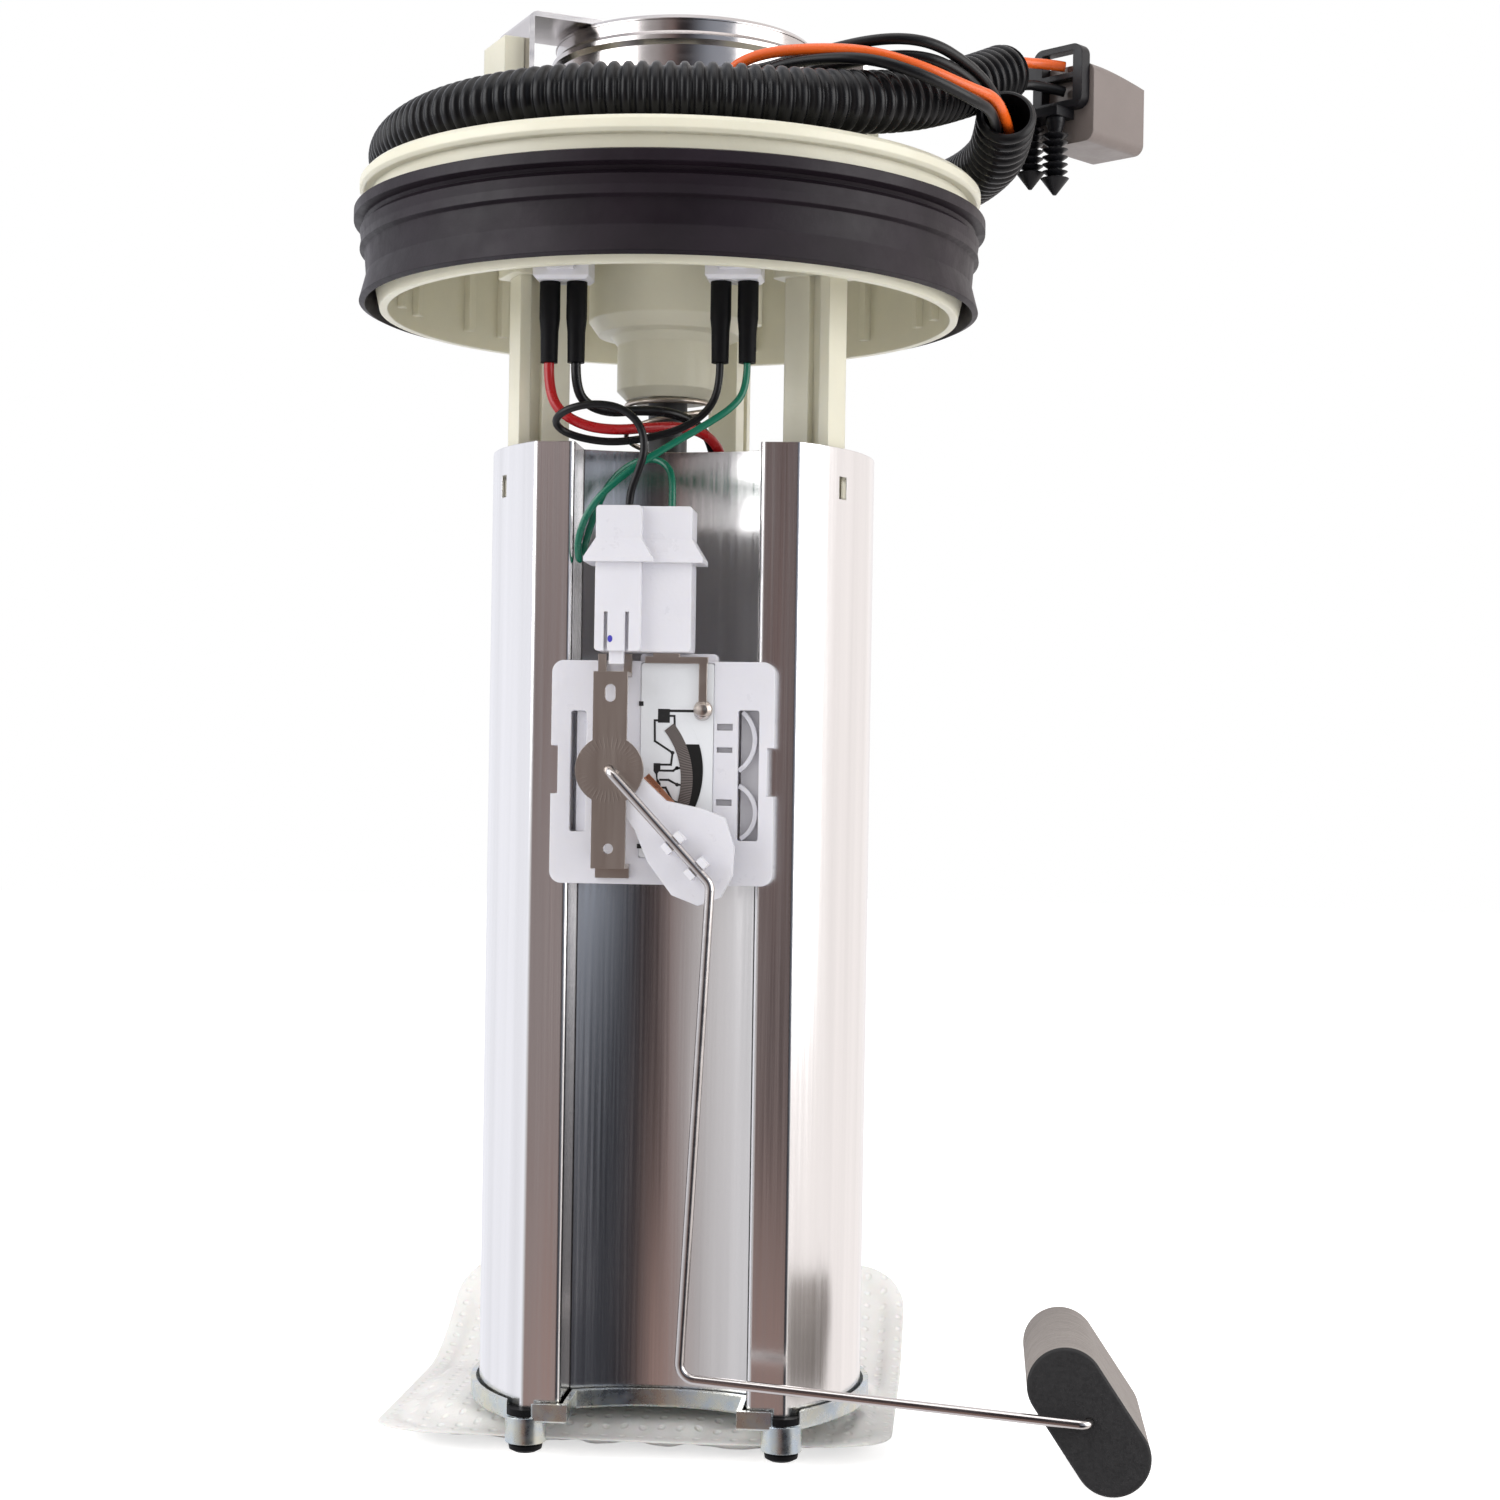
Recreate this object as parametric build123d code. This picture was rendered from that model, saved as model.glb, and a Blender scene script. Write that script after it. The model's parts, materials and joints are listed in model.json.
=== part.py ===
from build123d import *
import math
import os

os.makedirs("parts", exist_ok=True)

# In-tank fuel pump module, in millimetres. The origin is the centre of the sealing face
# under the flange, +Z is up and the level sender faces -Y.

# Clearances
RUN = 0.3          # between pieces that slide or turn past each other
SEAT = 0.05        # between pieces that are fitted together
PIN_GAP = 0.06     # radial, of a shaft in its hole

# Flange, outward from the wall that the seal sits on
SEAT_R = 67.5
FLANGE_LIP = 4.0
FLANGE_T = 3.6
NECK_STEP = 1.5
NECK_H = 3.3
FOOT_STEP = 0.9
FOOT_TAPER = 4.0
FOOT_WALL = 1.8
SKIRT_H = 26.0
SKIRT_WALL = 2.8
RIM_RIBS = 24
RIB_DEPTH = 1.8
RIB_W = 2.2
RIB_PAIR_ANGLE = 2.6
BOSS_R = 18.6
BOSS_H = 30.0
SPOUT_R = 11.9
SPOUT_H = 45.0

# Seal round the skirt, each as a thickness over the skirt's wall
SEAL_LIP = 5.2
SEAL_BEAD = 3.8
SEAL_WAIST = 2.3
SEAL_GROOVE = 2.6
SEAL_LIP_H = 3.0
SEAL_BEAD_TOP = 5.3
SEAL_BEAD_H = 4.1
SEAL_WAIST_DROP = 15.4
SEAL_H = 21.1

# Filter and pressure regulator
CAN_R = 30.0
CAN_X = 3.0
CAN_BASE_Z = 6.0
CAN_H = 29.0
CAN_BEAD = 1.0
STEM_R = 15.2
STEM_H = 27.0
TIP_R = 8.0
TIP_H = 35.0
GROOVE = 2.4
TIP_GROOVE = 2.0
RING_Z = -12.0
TIP_RING_Z = -31.0
RING_ROOM = 0.4
PORT_R = 3.97
PORT_LENGTH = 21.0
PORT_BEAD = 4.5
PORT_RISE = 18.0

# Strap over the filter
STRAP_W = 20.0
STRAP_T = 1.2
STRAP_REACH = 41.0
STRAP_ANGLE = 30.0
POST_W = 14.0
POST_T = 4.6
POST_H = 32.0
NOSE_W = 8.0
NOSE_Z = 18.0
NOSE_H = 3.5
STRAP_FOOT = 11.0

# Reservoir
BODY_X = 4.0
SHELL_R = 44.0
SHELL_WALL = 1.5
SHELL_TOP = -58.5
SHELL_H = 212.9
LAND_DROP = 11.0
CHANNEL_W = 41.0
CHANNEL_GAP = 2.4
CHANNEL_BOW = 4.5
CORNER_R = 1.2
WINDOW_W = 3.0
WINDOW_H = 5.0
WINDOW_Z = -67.3

# Guide legs
LEG_GAP = 0.5
LEG_DEPTH = 12.0
LEG_W = 7.0
LEG_CORE = 6.5
LEG_WEB = 2.8
LEG_RAIL = 2.6
LEG_BOTTOM = -108.0
LEG_ANGLES = {"right": -30.0, "rear": 79.0, "left": 210.0}
SOCKET_WALL = 2.4
SOCKET_H = 20.0

# Bottom plate and its isolators
PAN_GROW = 1.9
PAN_T = 1.2
PAN_RIM = 4.2
PAN_FLOOR_DROP = 1.6
CUP_INSET = 2.0
CUP_ANGLE = 47.6
CUP_R = 4.55
CUP_H = 4.8
PLUG_R = 3.3
PLUG_HEAD_R = 4.2

# Pump, hose and spring
PUMP_R = 19.0
PUMP_H = 92.0
PUMP_Y = 12.0
PUMP_TOP = -136.0
PUMP_CAP_H = 9.0
INLET_R = 5.6
INLET_H = 9.0
NECK_OUT = 8.0
NECK_FLARE = 4.0
SLEEVE_T = 1.6
SLEEVE_H = 68.0
CARRIER_Z = -126.0
CARRIER_T = 3.0
CARRIER_CUP_H = 4.5
POCKET_WALL = 2.0
POCKET_H = 60.0
HOSE_R = 4.5
HOSE_BORE = 3.1
NIPPLE_R = 3.05
SPRING_R = 9.6
SPRING_WIRE = 1.2
SPRING_TURNS = 8

# Inner plugs, which go through the flange, and their sleeves
INNER_PLUGS = (-20.0, 18.0)
PLUG_Y = -30.0
PLUG_W = 12.5
PLUG_D = 9.0
PLUG_BOTTOM = -23.0
PLUG_RISE = 0.4
PIN_PITCH = 6.0
SLEEVE_R = 2.0
SLEEVE_BOTTOM = -40.85

# Level sender, in the reservoir's own X and Z
BASE_X = 0.5
BASE_Z = -131.2
BASE_W = 48.8
BASE_H = 48.6
BASE_T = 4.8
RAIL_W = 1.8
RAIL_REACH = 9.0
RAIL_INSET = 4.0
TAB_X0, TAB_X1 = -4.6, 12.2
SIDE_NOTCH_LOW, SIDE_NOTCH_HIGH = -4.8, 5.7
WINDOW_RIGHT_X0, WINDOW_RIGHT_X1 = 17.0, 21.6
WINDOW_RIGHT_LOW, WINDOW_RIGHT_HIGH = -14.5, 13.8
WINDOW_LEFT_X0, WINDOW_LEFT_X1 = -19.6, -16.2
WINDOW_LEFT_LOW, WINDOW_LEFT_HIGH = -13.0, 13.3
SLOT_X0, SLOT_X1 = 12.4, 15.8
SLOT_HEIGHTS = ((9.4, 10.8), (4.6, 5.7), (-6.9, -5.6))
SPRING_ARC_X = 23.4
SPRING_ARC_R = 6.0
SPRING_ARC_HEIGHTS = (6.7, -7.3)
CARD_X0, CARD_X1 = -4.2, 11.6
CARD_LOW, CARD_HIGH = -18.4, 23.8
CARD_T = 0.7
CARD_INLAY = 0.5
TRACK_R = 18.0
TRACK_W = 3.0
TRACK_T = 0.12
TRACK_REACH = 30.0
TRACK_BELOW, TRACK_ABOVE = -24.0, 22.0
TERMINAL_T = 0.5
SOLDER_R = 2.1
PIVOT_X = -10.0
PIVOT_Z = -130.8
FAN_REACH = 9.0
FAN_T = 2.2
HUB_R = 5.0
HUB_STUB_R = 2.9
BRIDGE_T = 0.9
BRIDGE_W = 7.4
BRIDGE_DISC_R = 7.4
BRIDGE_REACH = 21.2
SENDER_PLUG_X0, SENDER_PLUG_X1 = -13.6, 7.0
SENDER_PLUG_Z0, SENDER_PLUG_Z1 = -105.2, -73.9
SENDER_PLUG_STEP_X = -3.7
SENDER_PLUG_GAP = 1.4
SENDER_PLUG_D = 11.4
SENDER_PLUG_SIDE_D = 9.4
COLLAR_GROW = 5.0
WIRE_R = 1.05
WIRE_REACH = 14.5
KNEE = (12.4, -154.9)
ANKLE = (7.3, -260.3)
FLOAT_X = 94.5
FLOAT_Z = -267.3
FLOAT_SETBACK = 2.5
FLOAT_W = 16.4
FLOAT_L = 34.5
FLOAT_D = 45.0
FLOAT_TILT = -56.0
RETAINER_R = 3.4

# Strainer sock
SOCK_W = 118.0
SOCK_FRONT = -24.0
SOCK_BACK = 92.0
SOCK_T = 7.0
SOCK_GAP = 2.6
SOCK_RISE = 20.0
SOCK_X = -3.0
SOCK_BEND = 44.0

# Harness on the flange
CONDUIT_R = 6.75
CONDUIT_BORE = 5.3
LEAD_R = 1.2
BOOT_Y = -38.0
BOOT_W = 12.0
BOOT_D = 6.4
BOOT_H = 9.1
CONDUIT_ROUTE = [
    (77, -20.5, 16), (76, -8, 11.6), (72.6, 6, 10.5), (67, 22, 10.5), (58, 36, 10.5), (43, 51, 10.5),
    (22, 60, 10.5), (-6, 62.5, 10.5), (-33, 54, 10.5), (-54, 35, 10.5), (-63.5, 8, 10.5),
    (-60, -20, 10.5), (-43, -45, 10.5), (-17, -60, 10.5), (13, -60, 10.5), (37, -52, 10.8),
    (53.5, -36.5, 14.4), (66.2, -14, 23), (76.7, 1, 31)]
LEAD_ROUTES = {
    "lead_orange": [
        (15, -38, 13), (15.2, -38.2, 18), (17.8, -39, 22), (24, -40.6, 24.2), (34, -43, 24.5),
        (47, -46, 23.2), (58.5, -44, 20.3), (69, -36.4, 17.5), (76.2, -28, 17), (77.9, -13, 12.2)],
    "lead_black_front": [
        (21, -38, 13), (21.3, -38.4, 17.5), (25, -40.4, 21.0), (35, -43.9, 22.0), (47, -48.4, 21.0),
        (58.5, -47.4, 17.8), (68.8, -38.8, 14.8), (74.8, -29, 14.0), (75, -13, 11.9)],
    "lead_black_middle": [
        (-17, -38, 13), (-16.4, -37.6, 17.2), (-11, -36.4, 20.4), (4, -35, 20.9), (20, -34.4, 21.4),
        (36, -38.4, 25), (50, -42, 27), (60.5, -39.8, 26.8), (68.5, -31.6, 24), (74.2, -24.2, 20),
        (77.9, -12, 14.9)],
    "lead_black_rear": [
        (-23, -38, 13), (-22.2, -37.2, 16), (-17.5, -34.9, 17.4), (3, -34.4, 17.8), (20, -34.2, 18.4),
        (37, -36.4, 22.0), (51, -40, 23.8), (60.5, -39, 23.6), (67.6, -32.8, 21.4), (71.4, -27.2, 18.8),
        (73.9, -20.5, 16.2), (75.0, -12, 14.4)]}
CONNECTOR = (90.6, 9.7, 31.4)
CONNECTOR_TURN = 38.5
CONNECTOR_W = 14.0
CONNECTOR_H = 14.6
RETAINER_D = 3.0
HOUSING_D = 20.0
HOUSING_W = 16.4
HOUSING_TOP = 3.2
HOUSING_H = 18.0
HOUSING_WALL = 1.8
HOUSING_SLOPE = 8.5
MOUTH_D = 14.0
BLADE_W = 2.0
BLADE_X = 2.6
BLADE_DROPS = (6.6, 11.4)
CLIP_R = 3.0
CLIP_H = 14.0
CLIP_PLACES = ((-6.2, -4.6, 1.2), (0.6, -4.2, 3.4))
BRACKET_T = 2.2
BRACKET_D = 7.0
SHORT_LEADS = {
    "connector_lead_orange": [(75.2, -2.6, 33.1), (80.5, 4, 34.2), (87, 7.2, 34.6), (90.4, 8.0, 34.2)],
    "connector_lead_black": [(74.8, -0.9, 26.0), (80.2, 4, 29.4), (86.6, 7.0, 29.2), (90.4, 8.0, 28.4)]}
INNER_ROUTES = {
    "lead_red": (1.15, [
        (-23, -30, -40.9), (-23, -30, -46), (-20.8, -31.2, -51.5), (-15, -32, -55.0), (-8, -30.4, -55.8),
        (-1, -26.5, -54.6), (6, -21.5, -53.6), (11.4, -15.5, -54.8), (14.2, -10.0, -59.2), (14.6, -8.4, -66)]),
    "lead_black_left": (1.1, [
        (-17, -30, -40.9), (-17, -30, -45), (-15.5, -28.6, -49.4), (-10.5, -25.6, -51.2), (-4, -22.6, -50.2),
        (3, -19.0, -50.0), (8.6, -14.2, -52.0), (11.8, -9.6, -56.4), (12.2, -7.6, -62.5)]),
    "lead_green": (0.8, [
        (21, -30, -40.9), (21, -30, -46), (18.6, -31.8, -50.6), (12, -34.4, -55.4), (4, -36.8, -60.4),
        (-4, -38.4, -65.8), (-11.4, -38.8, -72.4), (-15.0, -37.4, -80.0), (-15.1, -33.2, -85.5),
        (-14.9, -28.6, -82.6), (-13.4, -26.8, -75.5), (-10.4, -27.2, -68.0), (-5, -29.2, -63.0),
        (1, -31.4, -61.8), (4.9, -33.8, -64.4), (5.8, -36.4, -69.4), (5.7, -37.0, -73.8)]),
    "lead_black_right": (0.85, [
        (15, -30, -40.9), (15, -30, -46), (12.8, -29.8, -51.2), (7.4, -30.0, -55.2), (0, -30.6, -57.4),
        (-8, -31.0, -58.6), (-15, -31.4, -57.8), (-19.8, -33.2, -56.2), (-20.6, -36.8, -54.2),
        (-17.0, -39.4, -52.2), (-11, -40.2, -51.2), (-5, -40.4, -52.2), (-0.8, -40.6, -56.0),
        (0.2, -40.8, -61.4), (-1.6, -40.2, -66.6), (-3.2, -39.4, -70.4), (-3.4, -39.2, -73.85)])}

# Worked out from the sizes above
LAND_Y = LAND_DROP - SHELL_R
POCKET_R = PUMP_R + SLEEVE_T + POCKET_WALL
CHANNEL_Y = PUMP_Y - POCKET_R - CHANNEL_GAP - SHELL_WALL - CHANNEL_BOW
FLANGE_R = SEAT_R + FLANGE_LIP
NECK_R = SEAT_R + NECK_STEP
SKIRT_FOOT_R = SEAT_R - FOOT_STEP
LEG_OUT = SHELL_R - SHELL_WALL - LEG_GAP
LEG_IN = LEG_OUT - LEG_DEPTH
CUP_X = (SHELL_R - CUP_INSET) * math.cos(math.radians(CUP_ANGLE))
CUP_Y = -(SHELL_R - CUP_INSET) * math.sin(math.radians(CUP_ANGLE))
PLUG_TOP = FLANGE_T + PLUG_RISE
SHELL_BOTTOM = SHELL_TOP - SHELL_H
PAN_FLOOR = SHELL_BOTTOM - PAN_FLOOR_DROP
PAN_UNDER = PAN_FLOOR - PAN_T
SOCK_TOP = PAN_UNDER - SOCK_GAP
SOCK_LOW = SOCK_TOP - SOCK_T
BASE_BACK = LAND_Y - SEAT
BASE_FRONT = BASE_BACK - BASE_T
CARD_FRONT = BASE_FRONT + CARD_INLAY - CARD_T
CARD_Z0, CARD_Z1 = BASE_Z + CARD_LOW, BASE_Z + CARD_HIGH
FAN_BACK = LAND_Y - FAN_REACH
FAN_FRONT = FAN_BACK - FAN_T
BRIDGE_BACK = FAN_FRONT - RUN
SENDER_PLUG_BACK = LAND_Y - SENDER_PLUG_GAP
WIRE_Y = LAND_Y - WIRE_REACH
FLOAT_FRONT = WIRE_Y + FLOAT_SETBACK
ARM_ANGLE = math.degrees(math.atan2(KNEE[1] - PIVOT_Z, KNEE[0] - PIVOT_X))


def up(x, y, z):
    """A level plane at one height, with X and Y as they are in the part."""
    return Plane(origin=(x, y, z), x_dir=(1, 0, 0), z_dir=(0, 0, 1))


def facing(x, y, z):
    """A plane whose normal points forward, with X to the right and Z up."""
    return Plane(origin=(x, y, z), x_dir=(1, 0, 0), z_dir=(0, -1, 0))


def cyl(x, y, z, radius, height):
    """A cylinder that stands on z."""
    return extrude(up(x, y, z) * Circle(radius), height)


def tube(x, y, z, radius, bore, height):
    """A round tube that stands on z."""
    return cyl(x, y, z, radius, height) - cyl(x, y, z - 1, bore, height + 2)


def block(x0, x1, y0, y1, z0, z1):
    """A box between two corners."""
    middle = ((x0 + x1) / 2, (y0 + y1) / 2, (z0 + z1) / 2)
    return Pos(*middle) * Box(x1 - x0, y1 - y0, z1 - z0)


def pad(x0, x1, z0, z1, y, depth, corner):
    """A plate with round corners that faces forward, from y forward by its depth."""
    shape = facing((x0 + x1) / 2, y, (z0 + z1) / 2) * RectangleRounded(x1 - x0, z1 - z0, corner)
    return extrude(shape, depth)


def turned(points, x=0.0, y=0.0):
    """A solid of revolution about the vertical line at x, y, from radius and height pairs."""
    outline = Plane.XZ * make_face(Polyline(*points, close=True))
    return Pos(x, y, 0) * revolve(outline, Axis.Z)


def joined(shapes):
    result = shapes[0]
    for shape in shapes[1:]:
        result = result + shape
    return result


def cord_path(points):
    """Straight runs joined by arcs as large as the two runs beside each corner allow."""
    radii = []
    for before, corner, after in zip(points, points[1:], points[2:]):
        one = Vector(*corner) - Vector(*before)
        two = Vector(*after) - Vector(*corner)
        half = math.radians(one.get_angle(two) / 2)
        radii.append(0.45 * min(one.length, two.length) / math.tan(half))
    return FilletPolyline(*points, radius=radii), radii


def cord(name, points, radius, bore=0.0):
    path, radii = cord_path(points)
    start = Plane(origin=path @ 0, z_dir=path % 0)
    ring = start * (Circle(radius) - Circle(bore)) if bore else start * Circle(radius)
    solid = sweep(ring, path=path)
    area = math.pi * (radius ** 2 - bore ** 2)
    print(name, "length %.1f" % path.length, "radii", [round(r, 1) for r in radii],
          "volume over section times length %.4f" % (solid.volume / (area * path.length)))
    return solid


parts = {}


def keep(name, shape):
    parts[name] = shape


# Flange and what is fixed to it


def leg_frame(angle):
    """The leg's own frame: X points outward from the reservoir's axis."""
    return Pos(BODY_X, 0, 0) * Rot(0, 0, angle)


def boss():
    """The stepped boss under the flange that holds the filter's stem and the hose."""
    outline = [(0, 0), (BOSS_R + 2.0, 0), (BOSS_R, -4.0), (BOSS_R, -BOSS_H + 3), (BOSS_R - 2.2, -BOSS_H),
               (SPOUT_R + 1.6, -BOSS_H - 0.4), (SPOUT_R, -BOSS_H - 2.4), (SPOUT_R, -SPOUT_H + 2.2),
               (SPOUT_R - 2.2, -SPOUT_H), (0, -SPOUT_H)]
    return turned(outline)


def boss_bore():
    stem = STEM_R + 0.4
    tip = TIP_R + 0.4
    hose = HOSE_R + SEAT
    outline = [(0, FLANGE_T + 3), (stem, FLANGE_T + 3), (stem, -STEM_H + 0.2), (tip, -STEM_H - 0.6),
               (tip, -TIP_H - 1), (HOSE_BORE, -TIP_H - 1), (HOSE_BORE, -TIP_H - 3),
               (hose, -TIP_H - 3), (hose, -SPOUT_H - 1), (0, -SPOUT_H - 1)]
    return turned(outline)


def leg_socket(angle):
    """Walls under the flange that hold the top of a guide leg."""
    reach = LEG_OUT - LEG_IN + 2 * SOCKET_WALL
    centre = (LEG_IN + LEG_OUT) / 2
    walls = up(centre, 0, -SOCKET_H) * RectangleRounded(reach, LEG_W + 2 * SOCKET_WALL, 1.6)
    gusset = block(LEG_OUT, LEG_OUT + 14, -1.2, 1.2, -SOCKET_H + 6, 0)
    return leg_frame(angle) * (extrude(walls, SOCKET_H) + gusset)


def leg_pocket(angle):
    pocket = block(LEG_IN - SEAT, LEG_OUT + SEAT, -LEG_W / 2 - SEAT, LEG_W / 2 + SEAT, -SOCKET_H - 1, -0.4)
    return leg_frame(angle) * pocket


def strap_post(angle):
    """An upright on the flange that one end of the strap hooks over."""
    inner = STRAP_REACH + STRAP_T + SEAT
    post = block(inner, inner + POST_T, -POST_W / 2, POST_W / 2, 0, POST_H)
    nose = block(inner - STRAP_T - 1.6, inner + 1, -NOSE_W / 2, NOSE_W / 2, NOSE_Z, NOSE_Z + NOSE_H)
    web = block(inner + POST_T - 1, inner + POST_T + 3, -1.5, 1.5, 0, POST_H / 2)
    return Pos(CAN_X, 0, 0) * Rot(0, 0, angle) * (post + nose + web)


def tank_flange():
    disc = turned([(0, 0), (FLANGE_R - 0.8, 0), (FLANGE_R, 0.8), (FLANGE_R, FLANGE_T - 1),
                   (FLANGE_R - 1, FLANGE_T), (0, FLANGE_T)])
    inside = SEAT_R - SKIRT_WALL
    taper = -SKIRT_H + FOOT_TAPER
    skirt = turned([(NECK_R, 0.1), (NECK_R, -NECK_H), (SEAT_R, -NECK_H), (SEAT_R, taper),
                    (SKIRT_FOOT_R, -SKIRT_H), (SKIRT_FOOT_R - FOOT_WALL, -SKIRT_H), (inside, taper),
                    (inside, 0.1)])
    rib = block(inside - RIB_DEPTH, inside + 0.5, -RIB_W / 2, RIB_W / 2, taper - 0.5, 0)
    ribs = []
    for number in range(RIM_RIBS):
        pair = RIB_PAIR_ANGLE if number % 2 else -RIB_PAIR_ANGLE
        ribs.append(Rot(0, 0, 360 / RIM_RIBS * number + pair) * rib)
    body = joined([disc, skirt, boss()] + ribs)
    rim = tube(CAN_X, 0, 0, CAN_R + 3.2, CAN_R + 0.8, CAN_BASE_Z + 1)
    body = body + rim
    for angle in LEG_ANGLES.values():
        body = body + leg_socket(angle)
    body = body - boss_bore()
    for angle in LEG_ANGLES.values():
        body = body - leg_pocket(angle)
    for angle in (STRAP_ANGLE, STRAP_ANGLE + 180):
        body = body + strap_post(angle)
    for x in INNER_PLUGS:
        body = body - block(x - PLUG_W / 2, x + PLUG_W / 2, PLUG_Y - PLUG_D / 2, PLUG_Y + PLUG_D / 2,
                            -NECK_H * 2, FLANGE_T + 1)
    return body


def tank_seal():
    """A collar with a lip, a groove, a double bead, a waist and a foot that flares out."""
    top = -NECK_H - SEAT
    inner = SEAT_R + SEAT
    lip, bead = SEAT_R + SEAL_LIP, SEAT_R + SEAL_BEAD
    groove, waist = SEAT_R + SEAL_GROOVE, SEAT_R + SEAL_WAIST
    low_bead = top - SEAL_BEAD_TOP - SEAL_BEAD_H
    drop = top - SEAL_WAIST_DROP
    foot = top - SEAL_H
    points = [(inner, top), (lip - 1.7, top), (lip, top - 0.6), (lip, top - SEAL_LIP_H),
              (groove + 0.5, top - SEAL_LIP_H - 0.5), (groove, top - SEAL_LIP_H - 1.2),
              (groove + 0.5, top - SEAL_BEAD_TOP + 0.4), (bead, top - SEAL_BEAD_TOP),
              (bead - 0.3, low_bead + 2.0), (bead, low_bead), (groove + 0.1, low_bead - 0.6),
              (waist, drop), (bead, foot), (bead - 1.3, foot - 0.6), (inner + 1.15, drop - 1.0),
              (inner, drop + 0.2)]
    return turned(points)


def filter_can():
    """The can, drawn as one cup with a light bead round its shoulder."""
    low = CAN_BASE_Z
    high = CAN_BASE_Z + CAN_H
    outline = [(0, low), (CAN_R - 1.5, low), (CAN_R, low + 1.5), (CAN_R, high - 5.5),
               (CAN_R + CAN_BEAD, high - 4.5), (CAN_R + CAN_BEAD, high - 3.5), (CAN_R, high - 2.5),
               (CAN_R, high - SEAT), (0, high - SEAT)]
    return turned(outline, CAN_X)


def filter_lid():
    high = CAN_BASE_Z + CAN_H
    outline = [(0, high), (CAN_R + 0.2, high), (CAN_R + 0.2, high + 0.3), (CAN_R - 0.7, high + 1.2),
               (CAN_R - 2.4, high + 1.2), (CAN_R - 4.0, high + 0.5), (0, high + 0.5)]
    return turned(outline, CAN_X)


def filter_stem():
    """The lower end of the filter, with two grooves for its rings."""
    top = CAN_BASE_Z - SEAT
    low = -STEM_H + 1
    base = RING_Z - GROOVE - RING_ROOM
    tip_base = TIP_RING_Z - TIP_GROOVE - RING_ROOM
    outline = [(0, top), (STEM_R, top), (STEM_R, RING_Z), (STEM_R - GROOVE, RING_Z),
               (STEM_R - GROOVE, base), (STEM_R, base),
               (STEM_R, low + 1), (STEM_R - 1, low), (TIP_R, low), (TIP_R, TIP_RING_Z),
               (TIP_R - TIP_GROOVE, TIP_RING_Z), (TIP_R - TIP_GROOVE, tip_base), (TIP_R, tip_base),
               (TIP_R, -TIP_H + 1), (TIP_R - 1, -TIP_H), (0, -TIP_H)]
    return turned(outline) - cyl(0, 0, -TIP_H - 1, HOSE_BORE, 12)


def filter_ring(radius, depth, groove_z):
    """A ring in a groove of the stem, as thick as the groove is deep."""
    section = depth / 2
    middle = radius - depth + section + SEAT
    return Pos(0, 0, groove_z - section - RING_ROOM / 2) * Torus(middle, section)


def supply_port():
    """The quick-connect nipple that leaves the can's side and points back."""
    z = CAN_BASE_Z + PORT_RISE
    start = CAN_R + SEAT
    plane = Plane(origin=(CAN_X, start, z), x_dir=(1, 0, 0), z_dir=(0, 1, 0))
    collar = extrude(plane * Circle(PORT_R + 1.4), 3.0)
    pipe = extrude(plane * Circle(PORT_R), PORT_LENGTH)
    bead = extrude(Plane(origin=(CAN_X, start + PORT_BEAD, z), x_dir=(1, 0, 0), z_dir=(0, 1, 0))
                   * Circle(PORT_R + 1.0), 2.0)
    bore = extrude(plane * Circle(PORT_R - 1.1), PORT_LENGTH + 1)
    return collar + pipe + bead - bore


def strap():
    """A bent strip over the filter, with a window in each leg for the flange's noses."""
    top = CAN_BASE_Z + CAN_H + 1.2 + SEAT
    reach = STRAP_REACH
    low = STRAP_FOOT
    outer = [(-reach - STRAP_T, low), (-reach - STRAP_T, top + STRAP_T), (reach + STRAP_T, top + STRAP_T),
             (reach + STRAP_T, low), (reach, low), (reach, top), (-reach, top), (-reach, low)]
    side = Plane(origin=(0, STRAP_W / 2, 0), x_dir=(1, 0, 0), z_dir=(0, -1, 0))
    body = extrude(side * make_face(Polyline(*outer, close=True)), STRAP_W)
    bends = body.edges().filter_by(Axis.Y).group_by(Axis.Z)[-1]
    body = fillet(bends, 2.0)
    half = NOSE_W / 2 + RUN
    window = block(-reach - 3, reach + 3, -half, half, NOSE_Z - RUN, NOSE_Z + NOSE_H + RUN)
    inside = block(-reach + 1, reach - 1, -half, half, NOSE_Z - 1, NOSE_Z + NOSE_H + 1)
    return Pos(CAN_X, 0, 0) * Rot(0, 0, STRAP_ANGLE) * (body - (window - inside))


def inner_plug(x):
    """A plug body that carries two blades through the flange."""
    gap = SEAT
    body = block(x - PLUG_W / 2 + gap, x + PLUG_W / 2 - gap, PLUG_Y - PLUG_D / 2 + gap,
                 PLUG_Y + PLUG_D / 2 - gap, PLUG_BOTTOM, PLUG_TOP)
    body = chamfer(body.edges().group_by(Axis.Z)[0], 0.8)
    lug = block(x - 3, x + 3, PLUG_Y - PLUG_D / 2 - 1.6, PLUG_Y - PLUG_D / 2 + 1, PLUG_BOTTOM + 2, -8)
    return body + lug


def lead_sleeves():
    """Heat-shrink sleeves under the plugs, two on each."""
    sleeves = []
    for x in INNER_PLUGS:
        for side in (-0.5, 0.5):
            top = PLUG_BOTTOM - SEAT
            outline = [(0, top), (SLEEVE_R + 0.3, top), (SLEEVE_R + 0.3, top - 8), (SLEEVE_R, top - 11),
                       (SLEEVE_R - 0.1, SLEEVE_BOTTOM), (0, SLEEVE_BOTTOM)]
            sleeves.append(turned(outline, x + side * PIN_PITCH, PLUG_Y))
    return Compound(children=sleeves)


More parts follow.
